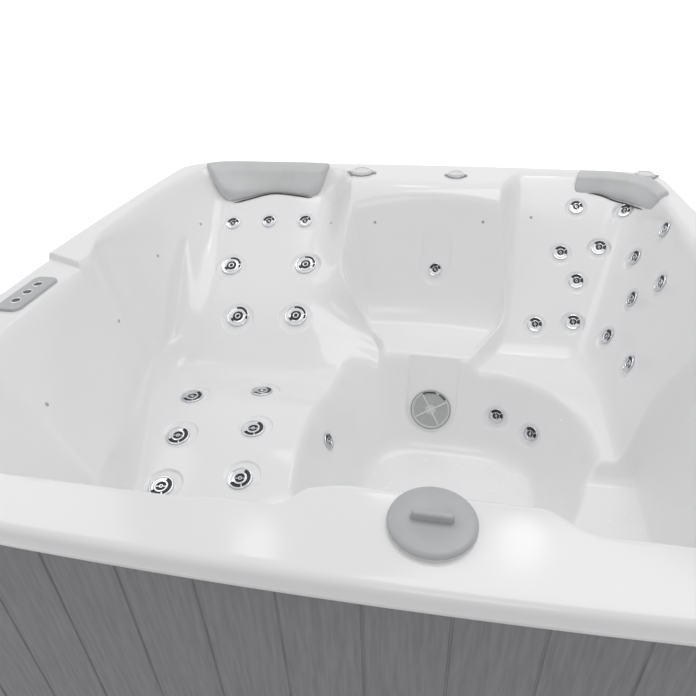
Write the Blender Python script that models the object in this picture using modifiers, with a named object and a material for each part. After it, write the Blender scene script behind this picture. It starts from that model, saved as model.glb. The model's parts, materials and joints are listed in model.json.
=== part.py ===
"""A square hot tub: moulded shell, jets, knobs, filter, pump and cabinet, as separate pieces."""

import math

import bmesh
import bpy
import numpy as np
from mathutils import Matrix, Vector

# Overall sizes, in metres
HALF_WIDTH = 1.05
SIDE_BOW = 0.03
RIM_CORNER_RADIUS = 0.14
HEIGHT = 0.90
CLEARANCE = 0.0003
OVERRUN = 0.03
SHARP_ANGLE = math.radians(40)
WELD_DISTANCE = 0.00001
LEVEL_LIMIT_SHARE = 0.001

# Shell: wall, rim and deck
SHELL_THICKNESS = 0.008
RIM_ROUND = 0.020
LIP_DROP = 0.060
DECK_STEP = 0.020
DECK_STEP_RUN = 0.012
DECK_BREAK = 0.015
DECK_BREAK_SLANT = 0.40
DECK_EDGE_ROUND = 0.045

# Shell: levels of the places inside
FOOTWELL_HEIGHT = 0.075
CENTRE_SEAT_HEIGHT = 0.40
CORNER_SEAT_HEIGHT = 0.36
FRONT_SEAT_HEIGHT = 0.42
PLATFORM_HEIGHT = 0.30
FOOT_DISH_HEIGHT = 0.30
BOWL_HEIGHT = 0.44

# Shell: how softly one face turns into the next
BOWL_ROUND = 0.09
TIGHT_ROUND = 0.015
SEAT_ROUND = 0.03
WALL_ROUND = 0.05
BACKREST_ROUND = 0.06
PAN_ROUND = 0.34
FOOTWELL_ROUND = 0.035
FOOTWELL_FRONT_ROUND = 0.10
PLACE_BLEND = 0.02

# Shell: radii on plan, and the lounge's top edge in from the rim
FOOTWELL_CORNER_RADIUS = 0.22
PLATFORM_CORNER_RADIUS = 0.06
FRONT_SEAT_CORNER_RADIUS = 0.08
FOOT_DISH_RADIUS = 0.225
LOUNGE_TOP_BAND = 0.125

# Shell: rise of the walls, in metres of height for each metre across
BOWL_WALL_SLOPE = 2.2
BOWL_BACK_SLOPE = 0.85
BOWL_CREST_SLOPE = 5.0
LOUNGE_TOP_SLOPE = 1.6
DIVIDER_SLOPE = 6.0
FRONT_WALL_SLOPE = 5.0
FOOT_DISH_SLOPE = 1.6
CENTRE_BACK_SLOPE = 2.4
CENTRE_SIDE_SLOPE = 2.6
PAN_DIVIDER_SLOPE = 3.0
PAN_FRONT_SLOPE = 2.2
PLATFORM_SLOPE = 2.4
PLATFORM_SIDE_SLOPE = 5.0
PLATFORM_FRONT_SLOPE = 3.5
FOOTWELL_SLOPE = 2.1
FOOTWELL_FRONT_STEEPER = 1.7
FOOTWELL_EASY_SHARE = 0.36
FOOTWELL_EASY_ANGLE = 2.30
FOOTWELL_EASY_SPREAD = 0.35

# Shell: places on plan as shares of HALF_WIDTH, and heights as shares of HEIGHT
BOWL_LEFT_SHARE = 0.848
BOWL_RIGHT_SHARE = 0.857
BOWL_FRONT_SHARE = 0.80
BOWL_BACK_SHARE = 0.72
BOWL_CREST_LIMIT_SHARE = 0.79
BOWL_CREST_FOOT_SHARE = 0.40
CREST_HEIGHT_SHARES = ((-0.762, 0.556), (-0.438, 0.544), (-0.238, 0.506), (0.0, 0.478), (0.286, 0.478))
LOUNGE_FLOOR_SHARES = (
    (-0.810, 0.378), (-0.571, 0.378), (-0.429, 0.394), (-0.190, 0.439), (0.0, 0.428), (0.114, 0.402),
    (0.171, 0.409), (0.238, 0.461), (0.314, 0.531), (0.524, 0.672), (0.714, 0.791), (0.857, 0.889),
    (0.971, 0.968))
LOUNGE_FOOT_SHARES = (
    (-0.762, -0.524), (-0.595, -0.569), (-0.476, -0.611), (-0.329, -0.657), (-0.162, -0.710), (0.0, -0.762),
    (0.095, -0.781), (0.238, -0.781), (0.381, -0.786), (0.571, -0.810), (0.857, -0.857))
LOUNGE_RIGHT_SHARES = ((0.0, -0.229), (0.143, -0.248), (0.314, -0.271), (0.476, -0.290), (0.905, -0.290))
LOUNGE_RIGHT_SLOPE_SHARES = (
    (-0.095, 0.0), (0.048, 0.0), (0.133, 0.15), (0.238, -0.2), (0.333, -0.45), (0.390, -0.42), (0.448, 0.25),
    (0.571, 0.9), (0.762, 1.6))
LOUNGE_SIDE_ROUND_SHARES = ((0.0, 0.019), (0.381, 0.114), (0.857, 0.114))
LOUNGE_SIDE_SLOPE_SHARES = ((0.0, 5.0), (0.381, 2.8), (0.857, 2.8))
LOUNGE_LIMIT_SHARES = (
    (0.095, -0.010), (0.286, -0.014), (0.343, -0.024), (0.381, -0.052), (0.448, -0.095), (0.571, -0.148),
    (0.762, -0.195))
LOUNGE_END_SHARE = -0.762
FOOT_DISH_CENTRE_SHARES = (-0.343, -0.762)
CENTRE_LEFT_SHARES = (
    (0.286, -0.010), (0.343, -0.019), (0.381, -0.048), (0.448, -0.090), (0.571, -0.143), (0.667, -0.178),
    (0.762, -0.190))
CENTRE_RIGHT_SHARES = ((0.357, 0.343), (0.476, 0.392), (0.524, 0.411), (0.695, 0.405), (0.762, 0.400))
CENTRE_BACK_SHARE = 0.524
CENTRE_FRONT_SHARE = 0.0
CENTRE_MIDDLE_SHARE = 0.124
CENTRE_BACK_BOW_SHARE = 0.295
PAN_BACK_SHARE = 0.413
PAN_BACK_TOP_SHARE = 0.8846
PAN_SIDE_SHARE = 0.733
PAN_SIDE_TOP_SHARE = 0.9038
PAN_FRONT_SHARE = -0.238
PAN_DIVIDER_SHARES = ((0.286, 0.314), (0.476, 0.410), (0.571, 0.424), (0.762, 0.429))
PLATFORM_SHARES = (0.476, 1.2, -1.2, -0.152)
PLATFORM_SIDE_SHARE = 0.80
PLATFORM_FRONT_SHARE = -0.686
FRONT_SEAT_SHARES = (0.0, 0.571, -0.667, -0.190)
FOOTWELL_SHARES = (-0.038, 0.552, -1.2, 0.143)
FOOTWELL_FRONT_SHARE = -0.343
FOOTWELL_CHAMFER_SHARE = 0.574
FOOTWELL_CHAMFER_ANGLE = -33.2
FOOTWELL_TURN_SHARES = (0.210, -0.105)

# Sheet: grid squares across the shell, triangles left in it, and steps round the rim
SHEET_SQUARES = 150
SHEET_TRIANGLES = 1100
RIM_STEPS = 2
STEEPEST_SHARE = 0.2

# Jets: kind, radius, depth of the water line behind it, and places on plan as shares of HALF_WIDTH
ROUND_SIDES = 10
FINE_SIDES = 16
JET_FLANGE_THICKNESS = 0.005
JET_SEAT_DEPTH = 0.003
JET_BARREL_LENGTH = 0.018
JET_BARREL_RADIUS_SHARE = 0.62
JET_LIP_SHARE = 0.6
JET_FACE_SHARE = 0.62
JET_CENTRE_SHARE = 0.4
JET_SHARES = (
    ("lounge_back_jet", 0.030, 0.040, ((-0.693, 0.717), (-0.542, 0.732), (-0.390, 0.739))),
    ("lounge_back_jet", 0.044, 0.040, ((-0.645, 0.528), (-0.347, 0.549), (-0.563, 0.330), (-0.341, 0.346))),
    ("lounge_leg_jet", 0.038, 0.040, (
        (-0.600, -0.050), (-0.384, 0.031), (-0.564, -0.242), (-0.342, -0.181), (-0.540, -0.422),
        (-0.323, -0.365))),
    ("centre_jet", 0.026, 0.040, ((0.150, 0.603),)),
    ("corner_neck_jet", 0.0275, 0.031, ((0.658, 0.812), (0.825, 0.784), (0.891, 0.509))),
    ("corner_back_jet", 0.029, 0.040, (
        (0.609, 0.685), (0.745, 0.702), (0.837, 0.570), (0.670, 0.611), (0.857, 0.311), (0.816, 0.414),
        (0.531, 0.490), (0.664, 0.502), (0.759, 0.385), (0.783, 0.170))),
    ("footwell_jet", 0.0285, 0.040, ((-0.130, -0.082), (-0.075, -0.274), (0.408, 0.200), (0.522, 0.134))),
)

# Water lines behind the jets: pipe runs name jets, or waypoints as shares of the half width and height
PIPE_RADIUS = 0.010
PIPE_SIDES = 5
PIPE_ROOM = 0.008
PIPE_RESOLUTION = 2
STUB_RADIUS_SHARE = 0.8
PIPE_RUN_SHARES = (
    ("lounge_back_jet_6", "lounge_back_jet_4", "lounge_back_jet_1", "lounge_back_jet_2",
     "lounge_back_jet_3", "lounge_back_jet_5", "lounge_back_jet_7"),
    ("lounge_leg_jet_1", "lounge_leg_jet_3", "lounge_leg_jet_5", "lounge_leg_jet_6", "lounge_leg_jet_4",
     "lounge_leg_jet_2", "lounge_leg_jet_1"),
    ("lounge_back_jet_6", (-0.56, 0.20, 0.32), (-0.60, 0.08, 0.34), "lounge_leg_jet_1"),
    ("lounge_leg_jet_4", (-0.24, -0.12, 0.30), "footwell_jet_1", (-0.17, -0.19, 0.16),
     "footwell_jet_2"),
    ("lounge_back_jet_3", (-0.27, 0.83, 0.72), (-0.15, 0.83, 0.60), (0.14, 0.80, 0.52), "centre_jet"),
    ("centre_jet", (0.24, 0.80, 0.52), (0.42, 0.85, 0.62), (0.52, 0.87, 0.74), "corner_neck_jet_1"),
    ("corner_neck_jet_1", "corner_back_jet_1", "corner_back_jet_4", "corner_back_jet_7",
     "corner_back_jet_8", "corner_back_jet_9", "corner_back_jet_10"),
    ("corner_neck_jet_2", "corner_back_jet_2", "corner_back_jet_4"),
    ("corner_neck_jet_3", "corner_back_jet_3", "corner_back_jet_6", "corner_back_jet_9"),
    ("corner_back_jet_5", "corner_back_jet_6"),
    ("corner_back_jet_10", (0.80, 0.24, 0.28), (0.62, 0.27, 0.22), "footwell_jet_4", "footwell_jet_3"),
)

# Pillows
PILLOW_RISE = 0.022
PILLOW_BACK = 0.014
PILLOW_BELLY = 0.010
PILLOW_LIP = 0.012
PILLOW_BURY = 0.005
PILLOW_END_SHARE = 0.55
PILLOW_CREST_SHARE = 0.25
PILLOW_BELLY_SHARE = 0.67
PILLOW_SEAT_SHARES = (0.3, 0.8)
PILLOW_SMOOTHING = 2
LOUNGE_PILLOW_DROP = 0.088
LOUNGE_PILLOW_TOP_SHARES = (
    (-0.843, 0.895), (-0.762, 0.926), (-0.581, 0.931), (-0.410, 0.931), (-0.329, 0.924))
LOUNGE_PILLOW_BOTTOM_SHARES = (
    (-0.740, 0.800), (-0.670, 0.822), (-0.557, 0.857), (-0.438, 0.850), (-0.370, 0.840))
CORNER_PILLOW_DROP = 0.060
CORNER_PILLOW_TOP_SHARES = (
    (0.667, 0.903), (0.743, 0.900), (0.833, 0.874), (0.902, 0.812), (0.919, 0.686))
CORNER_PILLOW_BOTTOM_SHARES = (
    (0.657, 0.851), (0.738, 0.849), (0.814, 0.820), (0.858, 0.760), (0.884, 0.686))

# Knobs on the deck
KNOB_BASE_HEIGHT = 0.005
KNOB_CAP_HEIGHT = 0.010
KNOB_CAP_SHARE = 0.72
KNOB_TOP_SHARE = 0.52
KNOB_SHOULDER_SHARE = 0.72
KNOB_TAB_SHARE = 0.22
SPINDLE_RADIUS = 0.010
SPINDLE_LENGTH = 0.018
DIVERTER_RADIUS = 0.050
AIR_KNOB_RADIUS = 0.0375
CORNER_KNOB_RADIUS = 0.0415
DIVERTER_SHARES = (-0.173, 0.857)
CENTRE_KNOB_SHARES = (0.200, 0.848)
CORNER_KNOB_SHARES = (0.897, 0.897)

# Control panel and its buttons
PANEL_WIDTH = 0.075
PANEL_LENGTH = 0.200
PANEL_PLATE_HEIGHT = 0.008
PANEL_EDGE = 0.003
PANEL_BODY_MARGIN = 0.013
PANEL_BODY_DEPTH = 0.035
PANEL_BAND = 0.100
PANEL_SHARE = -0.252
BUTTON_RADIUS = 0.011
BUTTON_HEIGHT = 0.005
BUTTON_WELL_DEPTH = 0.0055
BUTTON_TRAVEL = 0.0015
BUTTON_PITCH = 0.050
BUTTON_FACE_SHARE = 0.72
BUTTON_NAMES = ("heat_button", "light_button", "pump_button")

# Suction cover in the footwell
SUCTION_RADIUS = 0.0765
SUCTION_THICKNESS = 0.010
SUCTION_FACE_SHARE = 0.72
SUCTION_ALCOVE_MARGIN = 0.012
SUCTION_BOSS_RADIUS = 0.052
SUCTION_BOSS_WALL = 0.006
SUCTION_BOSS_LENGTH = 0.020
SUCTION_SLOTS = 12
SUCTION_SLOT_WIDTH = 0.006
SUCTION_HUB_RADIUS = 0.012
SUCTION_SLOT_INSET = 0.004
SUCTION_SHARES = (0.178, 0.207)

# Filter under the front deck
FILTER_SHARES = (0.238, -0.871)
CANISTER_RADIUS = 0.062
CANISTER_WALL = 0.004
CANISTER_FLANGE = 0.012
CANISTER_FLANGE_HEIGHT = 0.005
CANISTER_LENGTH = 0.330
CARTRIDGE_RADIUS = 0.052
CARTRIDGE_HEADROOM = 0.0257
CARTRIDGE_PLEATS = 20
CARTRIDGE_PLEAT_DEPTH = 0.007
CARTRIDGE_CAP_HEIGHT = 0.010
LID_THICKNESS = 0.009
LID_GRIP_LENGTH = 0.070
LID_GRIP_WIDTH = 0.014
LID_GRIP_HEIGHT = 0.014

# Cabinet
BASE_THICKNESS = 0.018
CABINET_INSET = 0.045
CABINET_CORNER_RADIUS = 0.125
CABINET_ARC_STEPS = 2
PANEL_THICKNESS = 0.010
PANEL_TOP_GAP = 0.002
RAIL_THICKNESS = 0.012
RAIL_DROP = 0.006
RAIL_HEIGHT = 0.040
POST_WIDTH = 0.060
POST_INSET = 0.001
POST_SHARES = (-0.762, 0.057, 0.762)
BEAM_WIDTH = 0.040
BEAM_SHARES = (-0.229, 0.048)

# Pump, heater and control box
PUMP_SHARES = (0.371, -0.752)
PUMP_AXIS_HEIGHT = 0.130
VOLUTE_RADIUS = 0.090
VOLUTE_LENGTH = 0.080
VOLUTE_WALL = 0.012
PORT_RADIUS = 0.026
PORT_WALL = 0.006
PORT_LENGTH = 0.030
MOTOR_RADIUS = 0.072
MOTOR_LENGTH = 0.260
MOTOR_FOOT_WIDTH = 0.100
MOTOR_FOOT_LENGTH = 0.160
SHAFT_RADIUS = 0.008
SHAFT_END_MARGIN = 0.040
ROTOR_MARGIN = 0.006
ROTOR_DISC = 0.006
ROTOR_VANES = 6
ROTOR_VANE_WIDTH = 0.005
HEATER_SHARES = (0.228, -0.590)
HEATER_AXIS_HEIGHT = 0.260
HEATER_LENGTH = 0.300
HEATER_RADIUS = 0.032
HEATER_BORE = 0.024
HEATER_NUT_LENGTH = 0.030
HEATER_NUT_RADIUS = 0.042
HEATER_FOOT_WIDTH = 0.030
HEATER_FOOT_SHARE = 0.72
CONTROL_BOX_SIZE = (0.350, 0.140, 0.220)
CONTROL_BOX_SHARES = (-0.640, -0.850)
CONTROL_BOX_EDGE = 0.008
MAIN_PIPE_RADIUS = 0.024
BRANCH_PIPE_RADIUS = 0.018
SUCTION_COLLAR_LENGTH = 0.020
SUCTION_RUN_SHARES = (
    (0.40, 0.34, 0.130), (0.62, 0.32, 0.125), (0.75, 0.20, 0.125), (0.77, -0.10, 0.125),
    (0.77, -0.60, 0.140), (0.70, PUMP_SHARES[1], PUMP_AXIS_HEIGHT / HEIGHT))
BRANCH_RUN_SHARES = ((0.66, -0.745, 0.150), (0.52, -0.830, 0.230), (0.30, FILTER_SHARES[1], 0.340))
DISCHARGE_RUN_SHARES = ((0.40, -0.67, 0.325), (0.425, -0.61, 0.300))
RETURN_RUN_SHARES = ((-0.03, -0.59, 0.289), (-0.12, -0.52, 0.285), (-0.24, -0.44, 0.285))

# Colours: linear red, green and blue, then roughness and metallic value
ACRYLIC = ((0.80, 0.80, 0.81), 0.12, 0.0)
STEEL = ((0.55, 0.56, 0.58), 0.20, 1.0)
FOAM = ((0.40, 0.41, 0.42), 0.60, 0.0)
GREY_PLASTIC = ((0.45, 0.46, 0.47), 0.35, 0.0)
DARK_PLASTIC = ((0.05, 0.05, 0.055), 0.45, 0.0)
WHITE_PLASTIC = ((0.75, 0.75, 0.74), 0.40, 0.0)
CABINET_PLASTIC = ((0.22, 0.22, 0.23), 0.65, 0.0)
PAPER = ((0.70, 0.74, 0.78), 0.90, 0.0)
GALVANISED = ((0.50, 0.52, 0.54), 0.45, 1.0)

for old in list(bpy.data.objects):
    bpy.data.objects.remove(old)
PARTS = bpy.data.collections.new("hot_tub")
CUTTERS = bpy.data.collections.new("cutters")
bpy.context.scene.collection.children.link(PARTS)
bpy.context.scene.collection.children.link(CUTTERS)


# Formulas

def ramp(distance, softness):
    """Zero behind the line, the distance past it, and a soft turn between."""
    turn = (distance + softness) ** 2 / (4 * softness)
    return np.where(distance < -softness, 0.0, np.where(distance > softness, distance, turn))


def lower(a, b, softness):
    """The lower of two surfaces, with their meeting edge rounded."""
    near = np.maximum(softness - np.abs(a - b), 0) / softness
    return np.minimum(a, b) - near * near * softness / 4


def higher(a, b, softness):
    """The higher of two surfaces, with their meeting edge rounded."""
    return -lower(-a, -b, softness)


def curve(at, table):
    """Smooth curve through a table of places and values, level beyond its ends."""
    places, values = np.array(table, dtype=float).T
    slopes = np.gradient(values, places)
    at = np.clip(at, places[0], places[-1])
    row = np.clip(np.searchsorted(places, at) - 1, 0, len(places) - 2)
    span = places[row + 1] - places[row]
    t = (at - places[row]) / span
    start = (1 + 2 * t) * (1 - t) ** 2 * values[row] + t * (1 - t) ** 2 * span * slopes[row]
    end = t * t * (3 - 2 * t) * values[row + 1] + t * t * (t - 1) * span * slopes[row + 1]
    return start + end


def outside(x, y, shares, radius):
    """Distance outside a rounded rectangle on plan: left, right, front and back shares."""
    left, right, front, back = (share * HALF_WIDTH for share in shares)
    across = np.abs(x - (left + right) / 2) - (right - left) / 2 + radius
    along = np.abs(y - (front + back) / 2) - (back - front) / 2 + radius
    corner = np.hypot(np.maximum(across, 0), np.maximum(along, 0))
    return corner + np.minimum(np.maximum(across, along), 0) - radius


# The tub's inner surface, as a height over the floor plan

def deck(x, y):
    """Flat rim, a step lower in front of two slanting lines."""
    line = -DECK_BREAK - DECK_BREAK_SLANT * (HALF_WIDTH - np.abs(x))
    t = np.clip((line - y) / DECK_STEP_RUN, 0, 1)
    return HEIGHT - DECK_STEP * t * t * (3 - 2 * t)


def bowl(x, y):
    """The space above the seats: the armrest on the left, and the front, right and back walls."""
    low_deck = HEIGHT - DECK_STEP
    crest_height = HEIGHT * curve(y / HALF_WIDTH, CREST_HEIGHT_SHARES)
    foot = HALF_WIDTH * curve(y / HALF_WIDTH, LOUNGE_FOOT_SHARES)
    crest = foot - (crest_height - BOWL_CREST_FOOT_SHARE * HEIGHT) / BOWL_CREST_SLOPE
    crest = np.maximum(crest, -BOWL_CREST_LIMIT_SHARE * HALF_WIDTH)
    edge = BOWL_LEFT_SHARE * HALF_WIDTH
    left = low_deck - (low_deck - crest_height) * (x + edge) / (crest + edge)
    right = low_deck - BOWL_WALL_SLOPE * (BOWL_RIGHT_SHARE * HALF_WIDTH - x)
    front = low_deck - BOWL_WALL_SLOPE * (y + BOWL_FRONT_SHARE * HALF_WIDTH)
    back = low_deck - BOWL_BACK_SLOPE * (BOWL_BACK_SHARE * HALF_WIDTH - y)
    level = higher(left, back, BOWL_ROUND)
    level = higher(higher(level, right, BOWL_ROUND), front, BOWL_ROUND)
    return higher(level, BOWL_HEIGHT, SEAT_ROUND)


def lounge(x, y):
    """The reclining place: its floor from the feet to the head, its two sides and its ends."""
    along = y / HALF_WIDTH
    foot = HALF_WIDTH * curve(along, LOUNGE_FOOT_SHARES)
    right = HALF_WIDTH * curve(along, LOUNGE_RIGHT_SHARES)
    limit = HALF_WIDTH * curve(along, LOUNGE_LIMIT_SHARES)
    side_round = HALF_WIDTH * curve(along, LOUNGE_SIDE_ROUND_SHARES)
    level = HEIGHT * curve(along, LOUNGE_FLOOR_SHARES)
    level = level + LOUNGE_TOP_SLOPE * ramp(y - HALF_WIDTH + LOUNGE_TOP_BAND, SEAT_ROUND)
    level = level + curve(along, LOUNGE_SIDE_SLOPE_SHARES) * ramp(foot - x, side_round)
    level = level + curve(along, LOUNGE_RIGHT_SLOPE_SHARES) * ramp(x - right, BACKREST_ROUND)
    level = level + DIVIDER_SLOPE * ramp(x - limit, TIGHT_ROUND)
    return level + FRONT_WALL_SLOPE * ramp(LOUNGE_END_SHARE * HALF_WIDTH - y, WALL_ROUND)


def foot_dish(x, y):
    """Round hollow at the lounge's foot end."""
    middle_x, middle_y = (share * HALF_WIDTH for share in FOOT_DISH_CENTRE_SHARES)
    out = np.hypot(x - middle_x, y - middle_y) - FOOT_DISH_RADIUS
    front = FRONT_WALL_SLOPE * ramp(middle_y - y, WALL_ROUND)
    return FOOT_DISH_HEIGHT + FOOT_DISH_SLOPE * ramp(out, SEAT_ROUND) + front


def centre_seat(x, y):
    """The seat at the middle of the back, with two flared sides and a bowed backrest."""
    left = HALF_WIDTH * curve(y / HALF_WIDTH, CENTRE_LEFT_SHARES)
    right = HALF_WIDTH * curve(y / HALF_WIDTH, CENTRE_RIGHT_SHARES)
    bow = CENTRE_BACK_BOW_SHARE * (x / HALF_WIDTH - CENTRE_MIDDLE_SHARE) ** 2
    back = (CENTRE_BACK_SHARE - bow) * HALF_WIDTH
    sides = ramp(left - x, SEAT_ROUND) + ramp(x - right, SEAT_ROUND)
    level = CENTRE_SEAT_HEIGHT + CENTRE_BACK_SLOPE * ramp(y - back, WALL_ROUND) + CENTRE_SIDE_SLOPE * sides
    return level + FRONT_WALL_SLOPE * ramp(CENTRE_FRONT_SHARE * HALF_WIDTH - y, SEAT_ROUND)


def corner_seat(x, y):
    """The scooped seat in the back right corner, whose two walls end at the low deck's height."""
    rise = HEIGHT - DECK_STEP - CORNER_SEAT_HEIGHT
    lean = (y / HALF_WIDTH - PAN_BACK_SHARE) / (PAN_BACK_TOP_SHARE - PAN_BACK_SHARE)
    tilt = (x / HALF_WIDTH - PAN_SIDE_SHARE) / (PAN_SIDE_TOP_SHARE - PAN_SIDE_SHARE)
    back = CORNER_SEAT_HEIGHT + rise * lean
    side = CORNER_SEAT_HEIGHT + rise * tilt
    edge = HALF_WIDTH * curve(y / HALF_WIDTH, PAN_DIVIDER_SHARES)
    level = higher(higher(back, side, PAN_ROUND), CORNER_SEAT_HEIGHT, WALL_ROUND)
    level = level + PAN_DIVIDER_SLOPE * ramp(edge - x, SEAT_ROUND)
    return level + PAN_FRONT_SLOPE * ramp(PAN_FRONT_SHARE * HALF_WIDTH - y, PLACE_BLEND)


def platform(x, y):
    """The low step at the front right."""
    out = outside(x, y, PLATFORM_SHARES, PLATFORM_CORNER_RADIUS)
    side = PLATFORM_SIDE_SLOPE * ramp(x - PLATFORM_SIDE_SHARE * HALF_WIDTH, SEAT_ROUND)
    front = PLATFORM_FRONT_SLOPE * ramp(PLATFORM_FRONT_SHARE * HALF_WIDTH - y, SEAT_ROUND)
    return PLATFORM_HEIGHT + PLATFORM_SLOPE * ramp(out, SEAT_ROUND) + side + front


def front_seat(x, y):
    """The small seat at the middle of the front."""
    out = outside(x, y, FRONT_SEAT_SHARES, FRONT_SEAT_CORNER_RADIUS)
    return FRONT_SEAT_HEIGHT + FRONT_WALL_SLOPE * ramp(out, SEAT_ROUND)


def footwell(x, y):
    """The deep middle, with a chamfered right side, a gentler back left and a steeper front."""
    out = outside(x, y, FOOTWELL_SHARES, FOOTWELL_CORNER_RADIUS)
    angle = math.radians(FOOTWELL_CHAMFER_ANGLE)
    chamfer = x * math.cos(angle) + y * math.sin(angle) - FOOTWELL_CHAMFER_SHARE * HALF_WIDTH
    front = FOOTWELL_FRONT_STEEPER * (FOOTWELL_FRONT_SHARE * HALF_WIDTH - y)
    out = higher(higher(out, chamfer, FOOTWELL_FRONT_ROUND), front, FOOTWELL_FRONT_ROUND)
    middle_x, middle_y = (share * HALF_WIDTH for share in FOOTWELL_TURN_SHARES)
    turn = (np.arctan2(y - middle_y, x - middle_x) - FOOTWELL_EASY_ANGLE) / FOOTWELL_EASY_SPREAD
    slope = FOOTWELL_SLOPE * (1 - FOOTWELL_EASY_SHARE * np.exp(-turn * turn))
    return FOOTWELL_HEIGHT + slope * ramp(out, FOOTWELL_ROUND)


def surface(x, y):
    """Height of the tub's inner surface at a place on plan."""
    level = lower(lounge(x, y), foot_dish(x, y), TIGHT_ROUND)
    for place in (centre_seat, corner_seat, platform, front_seat, bowl):
        level = lower(level, place(x, y), PLACE_BLEND)
    level = lower(level, footwell(x, y), SEAT_ROUND)
    return lower(level, deck(x, y), DECK_EDGE_ROUND)


# Tools for making solids

def finish(obj, look):
    """Give an object its own plain material."""
    colour, roughness, metallic = look
    material = bpy.data.materials.new(obj.name + "_material")
    material.use_nodes = True
    shader = material.node_tree.nodes["Principled BSDF"]
    shader.inputs["Base Color"].default_value = (*colour, 1)
    shader.inputs["Roughness"].default_value = roughness
    shader.inputs["Metallic"].default_value = metallic
    material.diffuse_color = (*colour, 1)
    obj.data.materials.append(material)
    obj.data.shade_smooth()
    obj.data.set_sharp_from_angle(angle=SHARP_ANGLE)
    return obj


def place_mesh(name, mesh, group, matrix=None):
    """Put a mesh in a collection, at a place; whatever isn't a part is only a guide."""
    obj = bpy.data.objects.new(name, mesh)
    group.objects.link(obj)
    obj.matrix_world = matrix or Matrix()
    if group is not PARTS:
        obj.hide_render = True
        obj.display_type = "WIRE"
    return obj


def place_bmesh(name, bm, group, matrix=None):
    """Turn a bmesh into a placed object."""
    mesh = bpy.data.meshes.new(name)
    bm.to_mesh(mesh)
    bm.free()
    return place_mesh(name, mesh, group, matrix)


def box(name, low, high, group, matrix=None):
    """A box from its lowest and highest corners."""
    low, high = Vector(low), Vector(high)
    bm = bmesh.new()
    bmesh.ops.create_cube(bm, size=1)
    bmesh.ops.scale(bm, vec=high - low, verts=bm.verts)
    bmesh.ops.translate(bm, vec=(low + high) / 2, verts=bm.verts)
    return place_bmesh(name, bm, group, matrix)


def cylinder(name, radius, low, high, group, matrix=None, sides=ROUND_SIDES):
    """An upright cylinder between two heights."""
    bm = bmesh.new()
    bmesh.ops.create_cone(
        bm, cap_ends=True, segments=sides, radius1=radius, radius2=radius, depth=high - low)
    bmesh.ops.translate(bm, vec=(0, 0, (low + high) / 2), verts=bm.verts)
    return place_bmesh(name, bm, group, matrix)


def turned(name, profile, group, matrix=None, sides=ROUND_SIDES, ring=False):
    """A turned piece: radius and height of each profile point, from the top down its outer side."""
    bm = bmesh.new()
    points = [bm.verts.new((radius, 0, height)) for radius, height in profile]
    for first, second in zip(points, points[1:]):
        bm.edges.new((first, second))
    if ring:
        bm.edges.new((points[-1], points[0]))
    obj = place_bmesh(name, bm, group, matrix)
    screw = obj.modifiers.new("turn", "SCREW")
    screw.steps = sides
    screw.render_steps = sides
    screw.use_merge_vertices = True
    screw.merge_threshold = WELD_DISTANCE
    return obj


def boolean(obj, operand, operation="DIFFERENCE"):
    """Cut an object by, or join it to, another object or every object of a collection."""
    modifier = obj.modifiers.new(operation.lower(), "BOOLEAN")
    modifier.operation = operation
    modifier.solver = "EXACT"
    if isinstance(operand, bpy.types.Collection):
        modifier.operand_type = "COLLECTION"
        modifier.collection = operand
    else:
        modifier.object = operand
    return obj


def cutter_group(name):
    """A collection for the cutters or the joined shapes of one piece."""
    group = bpy.data.collections.new(name)
    CUTTERS.children.link(group)
    return group


def evaluated(obj):
    """The object's mesh with its modifiers applied."""
    graph = bpy.context.evaluated_depsgraph_get()
    return bpy.data.meshes.new_from_object(obj.evaluated_get(graph))


def bevel(obj, width, segments=1):
    """Round the edges of an object."""
    modifier = obj.modifiers.new("bevel", "BEVEL")
    modifier.width = width
    modifier.segments = segments
    return obj


def pointing(origin, axis, toward=Vector((0, 0, 1))):
    """A frame at a point, its Z along an axis and its X level, or nearest to a given direction."""
    axis = Vector(axis).normalized()
    side = Vector(toward).cross(axis)
    if side.length < LEVEL_LIMIT_SHARE:
        side = Vector((1, 0, 0))
    side.normalize()
    up = axis.cross(side)
    turn = Matrix((side, up, axis)).transposed().to_4x4()
    return Matrix.Translation(origin) @ turn


def on_plan(shares, height):
    """A point from its shares of the half width, at a height."""
    return Vector((shares[0] * HALF_WIDTH, shares[1] * HALF_WIDTH, height))


def waypoint(shares):
    """A point from shares of the half width and of the height."""
    return on_plan(shares[:2], shares[2] * HEIGHT)


def pipe(name, points, radius, group):
    """A pipe through points, as a closed mesh."""
    data = bpy.data.curves.new(name, "CURVE")
    data.dimensions = "3D"
    data.bevel_depth = radius
    data.bevel_resolution = PIPE_RESOLUTION
    data.use_fill_caps = True
    spline = data.splines.new("POLY")
    spline.points.add(len(points) - 1)
    for target, point in zip(spline.points, points):
        target.co = (*point, 1)
    guide = bpy.data.objects.new(name + "_line", data)
    CUTTERS.objects.link(guide)
    bpy.context.view_layer.update()
    mesh = evaluated(guide)
    matrix = guide.matrix_world.copy()
    bpy.data.objects.remove(guide)
    bm = bmesh.new()
    bm.from_mesh(mesh)
    bmesh.ops.remove_doubles(bm, verts=bm.verts, dist=WELD_DISTANCE)
    bmesh.ops.recalc_face_normals(bm, faces=bm.faces)
    return place_bmesh(name, bm, group, matrix)


# Seats cut flat into the surface, for jets and the suction cover

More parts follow.
